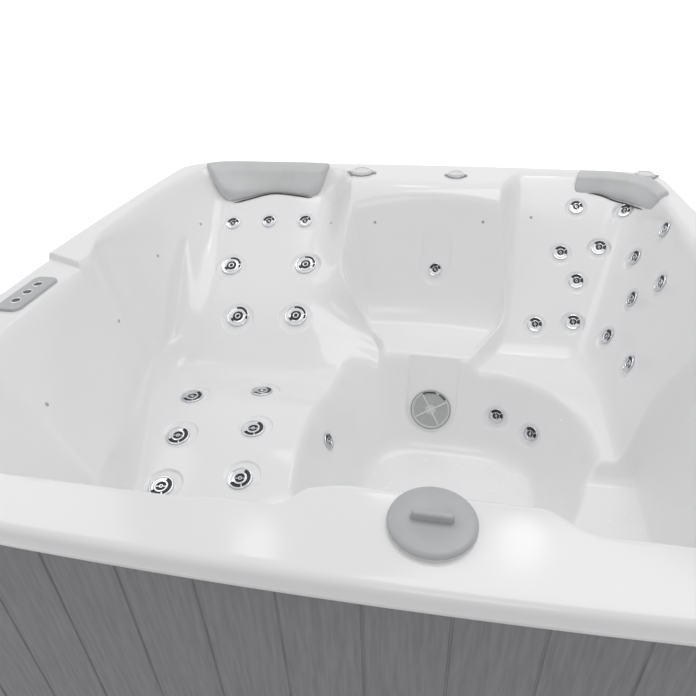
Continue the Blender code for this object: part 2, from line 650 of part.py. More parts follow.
def seat(shares, radius, depth):
    """Frame of a round seat: its floor below the lowest surface inside it, Z into the tub."""
    x, y = shares[0] * HALF_WIDTH, shares[1] * HALF_WIDTH
    reach = radius / 3
    slope_x = float(surface(x + reach, y) - surface(x - reach, y)) / (2 * reach)
    slope_y = float(surface(x, y + reach) - surface(x, y - reach)) / (2 * reach)
    frame = pointing((x, y, float(surface(x, y))), (-slope_x, -slope_y, 1))
    axis = frame.to_3x3().col[2]
    lowest = 0.0
    for step in range(8):
        angle = math.tau * step / 8
        rim = frame @ Vector((radius * math.cos(angle), radius * math.sin(angle), 0))
        lowest = min(lowest, (float(surface(rim.x, rim.y)) - rim.z) * axis.z)
    return frame @ Matrix.Translation((0, 0, lowest - depth))


def turning_room(radius, sides=ROUND_SIDES):
    """Radius of a many-sided hole in which a many-sided piece of this radius can turn."""
    return (radius + CLEARANCE) / math.cos(math.pi / sides)


def jet_places():
    """Radius, water line depth and seat of every jet by name."""
    count = {}
    places = {}
    for kind, radius, depth, shares in JET_SHARES:
        for share in shares:
            count[kind] = count.get(kind, 0) + 1
            name = kind if kind == "centre_jet" else f"{kind}_{count[kind]}"
            places[name] = (radius, depth, seat(share, turning_room(radius), JET_SEAT_DEPTH))
    return places


JET_PLACES = jet_places()
SUCTION_SEAT = seat(SUCTION_SHARES, SUCTION_RADIUS, JET_SEAT_DEPTH)


# Shell

def rim_point(x, y, inset):
    """The place on the rim's outline beside a point, moved in from the rim by an inset."""
    start = HALF_WIDTH - SIDE_BOW - RIM_CORNER_RADIUS
    past = Vector((abs(x) - start, abs(y) - start))
    if min(past) > 0:
        past = past.normalized() * (RIM_CORNER_RADIUS - inset)
        return math.copysign(start + past.x, x), math.copysign(start + past.y, y)
    if abs(x) > abs(y):
        return math.copysign(HALF_WIDTH - inset - SIDE_BOW * (y / start) ** 2, x), y
    return x, math.copysign(HALF_WIDTH - inset - SIDE_BOW * (x / start) ** 2, y)


def sheet_mesh():
    """The tub's surface inside its rounded rim, thinned to the triangles that its shape needs."""
    bm = bmesh.new()
    bmesh.ops.create_grid(bm, x_segments=SHEET_SQUARES, y_segments=SHEET_SQUARES, size=1)
    start = HALF_WIDTH - SIDE_BOW - RIM_CORNER_RADIUS
    for vert in bm.verts:
        reach = max(abs(vert.co.x), abs(vert.co.y))
        if reach == 0:
            continue
        corner = min(abs(vert.co.x), abs(vert.co.y)) / reach * HALF_WIDTH > start
        square = Vector(vert.co.xy) / reach * HALF_WIDTH
        if corner:
            square *= (HALF_WIDTH - SIDE_BOW) / HALF_WIDTH
        rim = Vector(rim_point(*square, RIM_ROUND))
        vert.co.xy = rim * reach
    places = np.array([vert.co for vert in bm.verts])
    heights = surface(places[:, 0], places[:, 1])
    for vert, height in zip(bm.verts, heights):
        vert.co.z = height
    guide = place_bmesh("sheet", bm, CUTTERS)
    thin = guide.modifiers.new("thin", "DECIMATE")
    thin.ratio = SHEET_TRIANGLES / (2 * SHEET_SQUARES ** 2)
    thin.use_collapse_triangulate = True
    bpy.context.view_layer.update()
    thinned = evaluated(guide)
    bm = bmesh.new()
    bm.from_mesh(thinned)
    for vert in bm.verts:
        if vert.is_boundary:
            vert.co.x, vert.co.y = rim_point(vert.co.x, vert.co.y, RIM_ROUND)
        vert.co.z = float(surface(vert.co.x, vert.co.y))
    bm.to_mesh(thinned)
    bm.free()
    return thinned


SHEET = sheet_mesh()


def ground():
    """Everything under the surface, raised by the clearance, to seat soft pieces on it."""
    bm = bmesh.new()
    bm.from_mesh(SHEET)
    bm.normal_update()
    for vert in bm.verts:
        vert.co.z += CLEARANCE / max(vert.normal.z, STEEPEST_SHARE)
    top = set(bm.verts)
    bmesh.ops.extrude_face_region(bm, geom=list(bm.faces))
    for vert in bm.verts:
        if vert not in top:
            vert.co.z = -HEIGHT
    bmesh.ops.recalc_face_normals(bm, faces=bm.faces)
    return place_bmesh("ground", bm, CUTTERS)


def jet_cutter(name, radius, frame, group):
    """Stepped hole for one jet: room for the flange to turn, and the bore behind it."""
    wide = turning_room(radius)
    narrow = turning_room(radius * JET_BARREL_RADIUS_SHARE)
    profile = ((0, OVERRUN), (wide, OVERRUN), (wide, 0), (narrow, 0), (narrow, -OVERRUN), (0, -OVERRUN))
    return turned("hole_" + name, profile, group, frame)


def alcove_cutter(group):
    """U-shaped recess that gives the suction cover a flat seat open at its top."""
    width = SUCTION_RADIUS + SUCTION_ALCOVE_MARGIN
    cylinder("alcove_foot", width, 0, OVERRUN, group, SUCTION_SEAT, FINE_SIDES)
    box("alcove_way", (-width, 0, 0), (width, 2 * width, OVERRUN), group, SUCTION_SEAT)
    bore = turning_room(SUCTION_BOSS_RADIUS)
    cylinder("suction_bore", bore, -OVERRUN, OVERRUN, group, SUCTION_SEAT)


def shell():
    """The moulded shell: the sheet with its hanging lip, given a wall and cut for what it carries."""
    bm = bmesh.new()
    bm.from_mesh(SHEET)
    border = [edge for edge in bm.edges if edge.is_boundary]
    for step in range(1, RIM_STEPS + 2):
        angle = math.pi / 2 * min(step / RIM_STEPS, 1)
        inset = RIM_ROUND * (1 - math.sin(angle))
        drop = RIM_ROUND * (1 - math.cos(angle))
        made = bmesh.ops.extrude_edge_only(bm, edges=border)["geom"]
        border = [item for item in made if isinstance(item, bmesh.types.BMEdge)]
        for vert in [item for item in made if isinstance(item, bmesh.types.BMVert)]:
            vert.co.x, vert.co.y = rim_point(vert.co.x, vert.co.y, inset)
            vert.co.z = float(deck(vert.co.x, vert.co.y)) - drop
            if step > RIM_STEPS:
                vert.co.z = HEIGHT - LIP_DROP
    bmesh.ops.recalc_face_normals(bm, faces=bm.faces)
    if max(bm.faces, key=lambda face: face.calc_area()).normal.z < 0:
        bmesh.ops.reverse_faces(bm, faces=bm.faces)
    obj = place_bmesh("shell", bm, PARTS)
    wall = obj.modifiers.new("wall", "SOLIDIFY")
    wall.thickness = SHELL_THICKNESS
    wall.offset = -1
    obj.modifiers.new("faces", "TRIANGULATE")
    group = cutter_group("shell_holes")
    for name, (radius, _, frame) in JET_PLACES.items():
        jet_cutter(name, radius, frame, group)
    alcove_cutter(group)
    for name, shares, _ in knob_places():
        spot = Matrix.Translation(on_plan(shares, HEIGHT))
        cylinder("hole_" + name, turning_room(SPINDLE_RADIUS), -OVERRUN, OVERRUN, group, spot)
    low_deck = HEIGHT - DECK_STEP
    hole = Matrix.Translation(on_plan(FILTER_SHARES, low_deck))
    room = turning_room(CANISTER_RADIUS, FINE_SIDES)
    cylinder("hole_filter", room, -OVERRUN, OVERRUN, group, hole, FINE_SIDES)
    low, high = control_body_corners(CLEARANCE)
    box("hole_panel", low, high, group)
    boolean(obj, group)
    return finish(obj, ACRYLIC)


# Jets and the lines behind them

def jet(name, radius, frame):
    """One jet: a dished flange in its seat and a barrel through the shell."""
    top = JET_FLANGE_THICKNESS
    barrel = radius * JET_BARREL_RADIUS_SHARE
    profile = (
        (0, JET_CENTRE_SHARE * top), (JET_FACE_SHARE * radius, top), (radius, JET_LIP_SHARE * top),
        (radius, CLEARANCE), (barrel, CLEARANCE), (barrel, -JET_BARREL_LENGTH), (0, -JET_BARREL_LENGTH))
    return finish(turned(name, profile, PARTS, frame), STEEL)


def pipe_point(item):
    """Place of a pipe run's stop: behind a jet, or a waypoint."""
    if isinstance(item, str):
        _, depth, place = JET_PLACES[item]
        return place @ Vector((0, 0, -depth))
    return waypoint(item)


def pipe_stops(run):
    """Points of a pipe run, with one more, bowed out behind the wall, where a hop would touch it."""
    points = [pipe_point(run[0])]
    for before, after in zip(run, run[1:]):
        start, end = pipe_point(before), pipe_point(after)
        if isinstance(before, str) and isinstance(after, str):
            axis = JET_PLACES[before][2].to_3x3().col[2] + JET_PLACES[after][2].to_3x3().col[2]
            axis.normalize()
            middle = (start + end) / 2
            room = (float(surface(middle.x, middle.y)) - middle.z) * axis.z
            short = SHELL_THICKNESS + PIPE_RADIUS + PIPE_ROOM - room
            if short > 0:
                points.append(middle - axis * (short + PIPE_ROOM))
        points.append(end)
    return points


def straight(name, start, end, group):
    """One straight length of water line, run on a little past both ends to meet the next."""
    way = (end - start).normalized()
    frame = pointing(start, way)
    reach = (end - start).length
    return cylinder(name, PIPE_RADIUS, -PIPE_RADIUS / 3, reach + PIPE_RADIUS / 3, group, frame, PIPE_SIDES)


def jet_manifold():
    """Stubs behind all jets, joined by water lines and fed from the heater."""
    group = cutter_group("water_lines")
    base = None
    for name, (radius, depth, frame) in JET_PLACES.items():
        stub = radius * JET_BARREL_RADIUS_SHARE * STUB_RADIUS_SHARE
        low = -depth - PIPE_RADIUS / 2
        high = -JET_BARREL_LENGTH - CLEARANCE
        where = group if base else PARTS
        title = "stub_" + name if base else "jet_manifold"
        made = cylinder(title, stub, low, high, where, frame, PIPE_SIDES)
        base = base or made
    runs = [pipe_stops(run) for run in PIPE_RUN_SHARES]
    runs.append([heater_end(-1)] + [pipe_point(item) for item in (*RETURN_RUN_SHARES, "lounge_leg_jet_6")])
    for number, run in enumerate(runs):
        for step, (start, end) in enumerate(zip(run, run[1:])):
            straight(f"line_{number}_{step}", start, end, group)
    boolean(base, group, "UNION")
    return finish(base, WHITE_PLASTIC)


# Suction cover

def suction_cover():
    """Slotted cover with a hollow boss through the shell."""
    boss = SUCTION_BOSS_RADIUS
    inner = boss - SUCTION_BOSS_WALL
    top = SUCTION_THICKNESS
    back = top / 2
    profile = (
        (0, top), (SUCTION_RADIUS * SUCTION_FACE_SHARE, top), (SUCTION_RADIUS, back),
        (SUCTION_RADIUS, CLEARANCE), (boss, CLEARANCE), (boss, -SUCTION_BOSS_LENGTH),
        (inner, -SUCTION_BOSS_LENGTH), (inner, back), (0, back))
    obj = turned("suction_cover", profile, PARTS, SUCTION_SEAT, FINE_SIDES)
    group = cutter_group("suction_slots")
    half = SUCTION_SLOT_WIDTH / 2
    far = inner - SUCTION_SLOT_INSET
    for step in range(SUCTION_SLOTS):
        turn = Matrix.Rotation(math.tau * (step + 0.5) / SUCTION_SLOTS, 4, "Z")
        frame = SUCTION_SEAT @ turn
        box(f"slot_{step}", (SUCTION_HUB_RADIUS, -half, 0), (far, half, OVERRUN), group, frame)
    boolean(obj, group)
    return finish(obj, GREY_PLASTIC)


# Knobs

def knob_places():
    """Name, place and radius of every knob on the deck."""
    return (
        ("diverter_knob", DIVERTER_SHARES, DIVERTER_RADIUS),
        ("air_knob_centre", CENTRE_KNOB_SHARES, AIR_KNOB_RADIUS),
        ("air_knob_corner", CORNER_KNOB_SHARES, CORNER_KNOB_RADIUS))


def knob(name, shares, radius):
    """A turning knob: low base, domed cap, two side tabs and a spindle through the deck."""
    cap = radius * KNOB_CAP_SHARE
    top = KNOB_BASE_HEIGHT + KNOB_CAP_HEIGHT
    shoulder = KNOB_BASE_HEIGHT + KNOB_CAP_HEIGHT * KNOB_SHOULDER_SHARE
    profile = (
        (0, top), (radius * KNOB_TOP_SHARE, top), (cap, shoulder), (cap, KNOB_BASE_HEIGHT),
        (radius, CLEARANCE + KNOB_BASE_HEIGHT / 2), (radius, CLEARANCE), (SPINDLE_RADIUS, CLEARANCE),
        (SPINDLE_RADIUS, -SPINDLE_LENGTH), (0, -SPINDLE_LENGTH))
    frame = Matrix.Translation(on_plan(shares, HEIGHT))
    obj = turned(name, profile, PARTS, frame, FINE_SIDES)
    half = radius * KNOB_TAB_SHARE
    low = (-radius, -half, KNOB_BASE_HEIGHT / 2)
    high = (radius, half, KNOB_BASE_HEIGHT + KNOB_CAP_HEIGHT / 2)
    tabs = box(name + "_tabs", low, high, CUTTERS, frame)
    boolean(obj, tabs, "UNION")
    return finish(obj, WHITE_PLASTIC)


# Control panel

def panel_origin():
    """Centre of the control panel's underside."""
    return Vector((PANEL_BAND - HALF_WIDTH, PANEL_SHARE * HALF_WIDTH, HEIGHT - DECK_STEP))


def control_body_corners(room):
    """Corners of the panel's sunken body, with room left round it."""
    margin = PANEL_BODY_MARGIN - room
    half = Vector((PANEL_WIDTH / 2 - margin, PANEL_LENGTH / 2 - margin, 0))
    low = panel_origin() - half - Vector((0, 0, PANEL_BODY_DEPTH))
    high = panel_origin() + half + Vector((0, 0, PANEL_PLATE_HEIGHT / 2))
    return low, high


def button_spots():
    """Name and place of each button, on the panel's top face."""
    top = panel_origin() + Vector((0, 0, CLEARANCE + PANEL_PLATE_HEIGHT))
    count = len(BUTTON_NAMES)
    return [(name, top + Vector((0, (step - (count - 1) / 2) * BUTTON_PITCH, 0)))
            for step, name in enumerate(BUTTON_NAMES)]


def control_panel():
    """Plate on the deck, a body sunk through it, and a well for each button."""
    half = Vector((PANEL_WIDTH / 2, PANEL_LENGTH / 2, 0))
    low = panel_origin() - half + Vector((0, 0, CLEARANCE))
    high = panel_origin() + half + Vector((0, 0, CLEARANCE + PANEL_PLATE_HEIGHT))
    obj = bevel(box("control_panel", low, high, PARTS), PANEL_EDGE)
    group = cutter_group("button_wells")
    for name, spot in button_spots():
        frame = Matrix.Translation(spot)
        cylinder("well_" + name, turning_room(BUTTON_RADIUS), -BUTTON_WELL_DEPTH, OVERRUN, group, frame)
    body = box("panel_body", *control_body_corners(0), CUTTERS)
    boolean(obj, body, "UNION")
    boolean(obj, group)
    return finish(obj, GREY_PLASTIC)


def button(name, spot):
    """A round push button, standing a little proud of the panel."""
    low = BUTTON_TRAVEL + CLEARANCE - BUTTON_WELL_DEPTH
    edge = BUTTON_RADIUS * BUTTON_FACE_SHARE
    top = low + BUTTON_HEIGHT
    profile = (
        (0, top), (edge, top), (BUTTON_RADIUS, top - BUTTON_TRAVEL / 2), (BUTTON_RADIUS, low), (0, low))
    return finish(turned(name, profile, PARTS, Matrix.Translation(spot)), DARK_PLASTIC)


# Filter

def filter_frame():
    """Frame at the middle of the filter's hole, on the lower deck."""
    return Matrix.Translation(on_plan(FILTER_SHARES, HEIGHT - DECK_STEP))


def filter_canister():
    """Open canister hung from its flange on the deck."""
    outer, inner = CANISTER_RADIUS, CANISTER_RADIUS - CANISTER_WALL
    top = CLEARANCE + CANISTER_FLANGE_HEIGHT
    floor = CANISTER_WALL - CANISTER_LENGTH
    profile = (
        (0, floor), (inner, floor), (inner, top), (outer + CANISTER_FLANGE, top),
        (outer + CANISTER_FLANGE, CLEARANCE), (outer, CLEARANCE), (outer, -CANISTER_LENGTH),
        (0, -CANISTER_LENGTH))
    return finish(turned("filter_canister", profile, PARTS, filter_frame(), FINE_SIDES), WHITE_PLASTIC)


def filter_cartridge():
    """Pleated cartridge with a cap at each end, standing in the canister."""
    low = CANISTER_WALL - CANISTER_LENGTH + CLEARANCE
    high = -CARTRIDGE_HEADROOM
    sides = 2 * CARTRIDGE_PLEATS
    inner = CARTRIDGE_RADIUS - CARTRIDGE_PLEAT_DEPTH
    bm = bmesh.new()
    length = high - low - CARTRIDGE_CAP_HEIGHT
    bmesh.ops.create_cone(
        bm, cap_ends=True, segments=sides, radius1=inner, radius2=inner, depth=length)
    bmesh.ops.translate(bm, vec=(0, 0, (low + high) / 2), verts=bm.verts)
    for vert in bm.verts:
        step = round(math.atan2(vert.co.y, vert.co.x) / math.tau * sides)
        if step % 2:
            stretch = (inner + CARTRIDGE_PLEAT_DEPTH / 2) / inner
            vert.co.x *= stretch
            vert.co.y *= stretch
    frame = filter_frame()
    obj = place_bmesh("filter_cartridge", bm, PARTS, frame)
    group = cutter_group("cartridge_caps")
    cap = CARTRIDGE_CAP_HEIGHT
    cylinder("cap_low", CARTRIDGE_RADIUS, low, low + cap, group, frame, FINE_SIDES)
    cylinder("cap_high", CARTRIDGE_RADIUS, high - cap, high, group, frame, FINE_SIDES)
    boolean(obj, group, "UNION")
    return finish(obj, PAPER)


def filter_lid():
    """Lid over the canister, with a grip bar."""
    low = 2 * CLEARANCE + CANISTER_FLANGE_HEIGHT
    high = low + LID_THICKNESS
    plug = CANISTER_RADIUS - CANISTER_WALL - CANISTER_WALL / 2
    edge = CANISTER_RADIUS + CANISTER_FLANGE
    profile = (
        (0, high), (edge - LID_THICKNESS, high), (edge, low + LID_THICKNESS / 2), (edge, low), (plug, low),
        (plug, low - LID_THICKNESS), (0, low - LID_THICKNESS))
    frame = filter_frame()
    obj = turned("filter_lid", profile, PARTS, frame, FINE_SIDES)
    half = Vector((LID_GRIP_LENGTH / 2, LID_GRIP_WIDTH / 2, 0))
    bottom = Vector((0, 0, (low + high) / 2))
    top = Vector((0, 0, high + LID_GRIP_HEIGHT))
    grip = box("lid_grip", bottom - half, top + half, CUTTERS, frame)
    boolean(obj, grip, "UNION")
    return finish(obj, GREY_PLASTIC)


# Pillows

def pillow_section(top, bottom, drop):
    """One ring of the pillow's cage, from its back on the deck over its front to its back on the wall."""
    inward = (bottom - top).normalized()
    up = Vector((0, 0, 1))
    brow = Vector((top.x, top.y, HEIGHT))
    lip = Vector((bottom.x, bottom.y, HEIGHT - drop))
    crest = brow.lerp(lip, PILLOW_CREST_SHARE)
    crest.z = HEIGHT + PILLOW_RISE
    belly = brow.lerp(lip, PILLOW_BELLY_SHARE) + inward * PILLOW_BELLY + up * PILLOW_BELLY
    lip = lip - inward * PILLOW_LIP / 2 - up * PILLOW_LIP / 2
    ring = [brow - inward * PILLOW_BACK + up * PILLOW_RISE / 2, crest, belly, lip]
    for share in PILLOW_SEAT_SHARES:
        back = bottom.lerp(top, share)
        level = float(surface(back.x, back.y)) - PILLOW_BURY
        ring.append(Vector((back.x, back.y, level)))
    return ring


def pillow(name, top_shares, bottom_shares, drop, seat_solid):
    """A moulded head pillow: crowned, drawn in at its ends and shaped to the wall behind it."""
    rings = [pillow_section(on_plan(top, 0), on_plan(bottom, 0), drop)
             for top, bottom in zip(top_shares, bottom_shares)]
    for end, nxt in ((0, 1), (-1, -2)):
        middle = sum(rings[end], Vector()) / len(rings[end])
        close = sum(rings[nxt], Vector()) / len(rings[nxt])
        cap = [middle.lerp(point, PILLOW_END_SHARE) + (middle - close) * PILLOW_LIP for point in rings[end]]
        if end == 0:
            rings.insert(0, cap)
        else:
            rings.append(cap)
    centre = sum((sum(ring, Vector()) for ring in rings), Vector()) / (len(rings) * len(rings[0]))
    bm = bmesh.new()
    verts = [[bm.verts.new(point - centre) for point in ring] for ring in rings]
    count = len(verts[0])
    for ring, following in zip(verts, verts[1:]):
        for step in range(count):
            ahead = (step + 1) % count
            bm.faces.new((ring[step], ring[ahead], following[ahead], following[step]))
    bm.faces.new(verts[0])
    bm.faces.new(verts[-1])
    bmesh.ops.recalc_face_normals(bm, faces=bm.faces)
    obj = place_bmesh(name, bm, PARTS, Matrix.Translation(centre))
    soft = obj.modifiers.new("soft", "SUBSURF")
    soft.levels = PILLOW_SMOOTHING
    soft.render_levels = PILLOW_SMOOTHING
    boolean(obj, seat_solid)
    return finish(obj, FOAM)


# Cabinet

def corner_arc(corner, half, radius, start, stop):
    """Points of one corner's arc on a rounded square, between two angles from its diagonal."""
    diagonal = math.radians(90 * corner - 135)
    reach = half - radius
    middle = Vector((math.copysign(reach, math.cos(diagonal)), math.copysign(reach, math.sin(diagonal)), 0))
    steps = CABINET_ARC_STEPS * round((stop - start) / (math.pi / 4))
    points = []
    for step in range(steps + 1):
        angle = diagonal + start + (stop - start) * step / steps
        points.append(middle + radius * Vector((math.cos(angle), math.sin(angle), 0)))
    return points


def ring_outline(half, radius):
    """Points all the way round a rounded square."""
    return [point for corner in range(4)
            for point in corner_arc(corner, half, radius, -math.pi / 4, math.pi / 4)]


def side_outline(side, half, radius):
    """Points along one side of a rounded square, from one corner's diagonal to the next's."""
    trim = CLEARANCE / radius
    return (corner_arc(side, half, radius, trim, math.pi / 4)
            + corner_arc(side + 1, half, radius, -math.pi / 4, -trim))


def upright_wall(name, outer, inner, low, high, group, closed=False):
    """A wall between two outlines and two heights."""
    bm = bmesh.new()
    rows = [[bm.verts.new((point.x, point.y, low)) for point in points] for points in (outer, inner)]
    if closed:
        rows = [row + row[:1] for row in rows]
    for quad in zip(rows[0], rows[0][1:], rows[1][1:], rows[1]):
        bm.faces.new(quad)
    made = bmesh.ops.extrude_face_region(bm, geom=list(bm.faces))["geom"]
    for item in made:
        if isinstance(item, bmesh.types.BMVert):
            item.co.z = high
    bmesh.ops.recalc_face_normals(bm, faces=bm.faces)
    return place_bmesh(name, bm, group)


CABINET_HALF = HALF_WIDTH - CABINET_INSET


def base_pan():
    """Flat pan that everything stands on."""
    bm = bmesh.new()
    bm.faces.new([bm.verts.new(point) for point in ring_outline(CABINET_HALF, CABINET_CORNER_RADIUS)])
    obj = place_bmesh("base_pan", bm, PARTS, Matrix.Translation((0, 0, BASE_THICKNESS)))
    wall = obj.modifiers.new("wall", "SOLIDIFY")
    wall.thickness = BASE_THICKNESS
    wall.offset = -1
    return finish(obj, DARK_PLASTIC)


def cabinet_panel(name, side):
    """One cabinet side with half of each corner."""
    outer = side_outline(side, CABINET_HALF, CABINET_CORNER_RADIUS)
    inner = side_outline(side, CABINET_HALF - PANEL_THICKNESS, CABINET_CORNER_RADIUS - PANEL_THICKNESS)
    top = HEIGHT - LIP_DROP - PANEL_TOP_GAP
    obj = upright_wall(name, outer, inner, BASE_THICKNESS + CLEARANCE, top, PARTS)
    return finish(obj, CABINET_PLASTIC)


def frame():
    """Welded frame: two rails round the tub, posts between them and beams under the footwell."""
    half = CABINET_HALF - PANEL_THICKNESS - CLEARANCE
    radius = CABINET_CORNER_RADIUS - PANEL_THICKNESS - CLEARANCE
    outer = ring_outline(half, radius)
    inner = ring_outline(half - RAIL_THICKNESS, radius - RAIL_THICKNESS)
    floor = BASE_THICKNESS + CLEARANCE
    top = HEIGHT - DECK_STEP - SHELL_THICKNESS - RAIL_DROP
    obj = upright_wall("frame", outer, inner, floor, floor + RAIL_HEIGHT, PARTS, True)
    group = cutter_group("frame_members")
    upright_wall("top_rail", outer, inner, top - RAIL_HEIGHT, top, group, True)
    outer = half - POST_INSET
    inner = half - RAIL_THICKNESS + POST_INSET
    for step, share in enumerate(POST_SHARES):
        for side in range(4):
            turn = Matrix.Rotation(side * math.pi / 2, 4, "Z")
            middle = share * HALF_WIDTH
            spot = turn @ Vector((middle, -outer, 0))
            raised = top + DECK_STEP if spot.y > 0 else top - POST_INSET
            if side == 0 and step == 1:
                continue
            low = (middle - POST_WIDTH / 2, -outer, floor + POST_INSET)
            high = (middle + POST_WIDTH / 2, -inner, raised)
            box(f"post_{side}_{step}", low, high, group, turn)
    under = FOOTWELL_HEIGHT - SHELL_THICKNESS - CLEARANCE * 3
    for step, share in enumerate(BEAM_SHARES):
        middle = share * HALF_WIDTH
        low = (-outer, middle - BEAM_WIDTH / 2, floor + POST_INSET)
        high = (outer, middle + BEAM_WIDTH / 2, under)
        box(f"beam_{step}", low, high, group)
    boolean(obj, group, "UNION")
    return finish(obj, GALVANISED)


# Pump

def pump_frame():
    """Frame at the volute's middle, its Z along the shaft towards the inlet."""
    return pointing(on_plan(PUMP_SHARES, PUMP_AXIS_HEIGHT), (1, 0, 0))


def outlet_frame():
    """Frame at the volute's middle, its Z up the outlet."""
    return Matrix.Translation(on_plan(PUMP_SHARES, PUMP_AXIS_HEIGHT))


def pump_housing():
    """Hollow volute with an inlet at its right end and an outlet on top."""
    place = pump_frame()
    half = VOLUTE_LENGTH / 2
    obj = cylinder("pump_housing", VOLUTE_RADIUS, -half, half, PARTS, place, FINE_SIDES)
    ports = cutter_group("pump_ports")
    wide = PORT_RADIUS
    inlet_end = half + PORT_LENGTH
    outlet_end = VOLUTE_RADIUS + PORT_LENGTH
    cylinder("inlet", wide, half - VOLUTE_WALL / 2, inlet_end, ports, place)
    cylinder("outlet", wide, VOLUTE_RADIUS / 2, outlet_end, ports, outlet_frame())
    boolean(obj, ports, "UNION")
    hollows = cutter_group("pump_hollows")
    bore = PORT_RADIUS - PORT_WALL
    cavity = half - VOLUTE_WALL
    cylinder("cavity", VOLUTE_RADIUS - VOLUTE_WALL, -cavity, cavity, hollows, place, FINE_SIDES)
    cylinder("inlet_bore", bore, 0, inlet_end + OVERRUN, hollows, place)
    cylinder("outlet_bore", bore, VOLUTE_RADIUS / 2, outlet_end + OVERRUN, hollows, outlet_frame())
    cylinder("shaft_bore", turning_room(SHAFT_RADIUS), -half - OVERRUN, 0, hollows, place)
    boolean(obj, hollows)
    return finish(obj, DARK_PLASTIC)


def pump_motor():
    """Motor casing behind the volute, on a foot, with a blind bore for the shaft."""
    place = pump_frame()
    near = -VOLUTE_LENGTH / 2 - CLEARANCE
    far = near - MOTOR_LENGTH
    obj = cylinder("pump_motor", MOTOR_RADIUS, far, near, PARTS, place, FINE_SIDES)
    axis = on_plan(PUMP_SHARES, PUMP_AXIS_HEIGHT)
    middle = axis.x + (near + far) / 2
    low = (middle - MOTOR_FOOT_LENGTH / 2, axis.y - MOTOR_FOOT_WIDTH / 2, BASE_THICKNESS + CLEARANCE)
    top = PUMP_AXIS_HEIGHT - MOTOR_RADIUS / 2
    high = (middle + MOTOR_FOOT_LENGTH / 2, axis.y + MOTOR_FOOT_WIDTH / 2, top)
    boolean(obj, box("motor_foot", low, high, CUTTERS), "UNION")
    deep = far + SHAFT_END_MARGIN - CLEARANCE
    bore = cylinder("motor_bore", turning_room(SHAFT_RADIUS), deep, near + OVERRUN, CUTTERS, place)
    boolean(obj, bore)
    return finish(obj, GALVANISED)


def pump_rotor():
    """Impeller and shaft in one piece, turning on the shaft."""
    place = pump_frame()
    cavity = VOLUTE_LENGTH / 2 - VOLUTE_WALL
    low = -cavity + ROTOR_MARGIN
    high = cavity - ROTOR_MARGIN
    reach = VOLUTE_RADIUS - VOLUTE_WALL - ROTOR_MARGIN
    shaft_end = -VOLUTE_LENGTH / 2 - MOTOR_LENGTH + SHAFT_END_MARGIN
    obj = cylinder("pump_rotor", SHAFT_RADIUS, shaft_end, high, PARTS, place)
    group = cutter_group("rotor_shapes")
    cylinder("rotor_disc", reach, low, low + ROTOR_DISC, group, place)
    half = ROTOR_VANE_WIDTH / 2
    out = reach * math.cos(math.pi / ROUND_SIDES) - CLEARANCE
    for step in range(ROTOR_VANES):
        turn = place @ Matrix.Rotation(math.tau * step / ROTOR_VANES, 4, "Z")
        low_corner = (0, -half, low + ROTOR_DISC / 2)
        high_corner = (out, half, high - ROTOR_DISC / 2)
        box(f"vane_{step}", low_corner, high_corner, group, turn)
    boolean(obj, group, "UNION")
    return finish(obj, GALVANISED)


# Heater, control box and main pipes

def heater_end(side):
    """Centre of the heater's right (+1) or left (-1) end, a clearance past its face."""
    middle = on_plan(HEATER_SHARES, HEATER_AXIS_HEIGHT)
    return middle + Vector((side * (HEATER_LENGTH / 2 + CLEARANCE), 0, 0))


def heater():
    """Heater tube with a union nut at each end, carried on two feet."""
    place = pointing(on_plan(HEATER_SHARES, HEATER_AXIS_HEIGHT), (1, 0, 0))
    end = HEATER_LENGTH / 2
    neck = end - HEATER_NUT_LENGTH
    profile = (
        (HEATER_BORE, end), (HEATER_NUT_RADIUS, end), (HEATER_NUT_RADIUS, neck), (HEATER_RADIUS, neck),
        (HEATER_RADIUS, -neck), (HEATER_NUT_RADIUS, -neck), (HEATER_NUT_RADIUS, -end), (HEATER_BORE, -end))
    obj = turned("heater", profile, PARTS, place, ring=True)
    group = cutter_group("heater_feet")
    middle = on_plan(HEATER_SHARES, 0)
    half = HEATER_FOOT_WIDTH / 2
    for side in (-1, 1):
        spot = middle.x + side * neck * HEATER_FOOT_SHARE
        low = (spot - half, middle.y - half, BASE_THICKNESS + CLEARANCE)
        high = (spot + half, middle.y + half, HEATER_AXIS_HEIGHT - (HEATER_RADIUS + HEATER_BORE) / 2)
        box(f"heater_foot_{side}", low, high, group)
    boolean(obj, group, "UNION")
    return finish(obj, STEEL)


def control_box():
    """Box for the controls, standing on the base."""
    length, depth, height = CONTROL_BOX_SIZE
    centre = on_plan(CONTROL_BOX_SHARES, BASE_THICKNESS + CLEARANCE + height / 2)
    half = Vector((length, depth, height)) / 2
    obj = bevel(box("control_box", centre - half, centre + half, PARTS), CONTROL_BOX_EDGE)
    return finish(obj, GREY_PLASTIC)


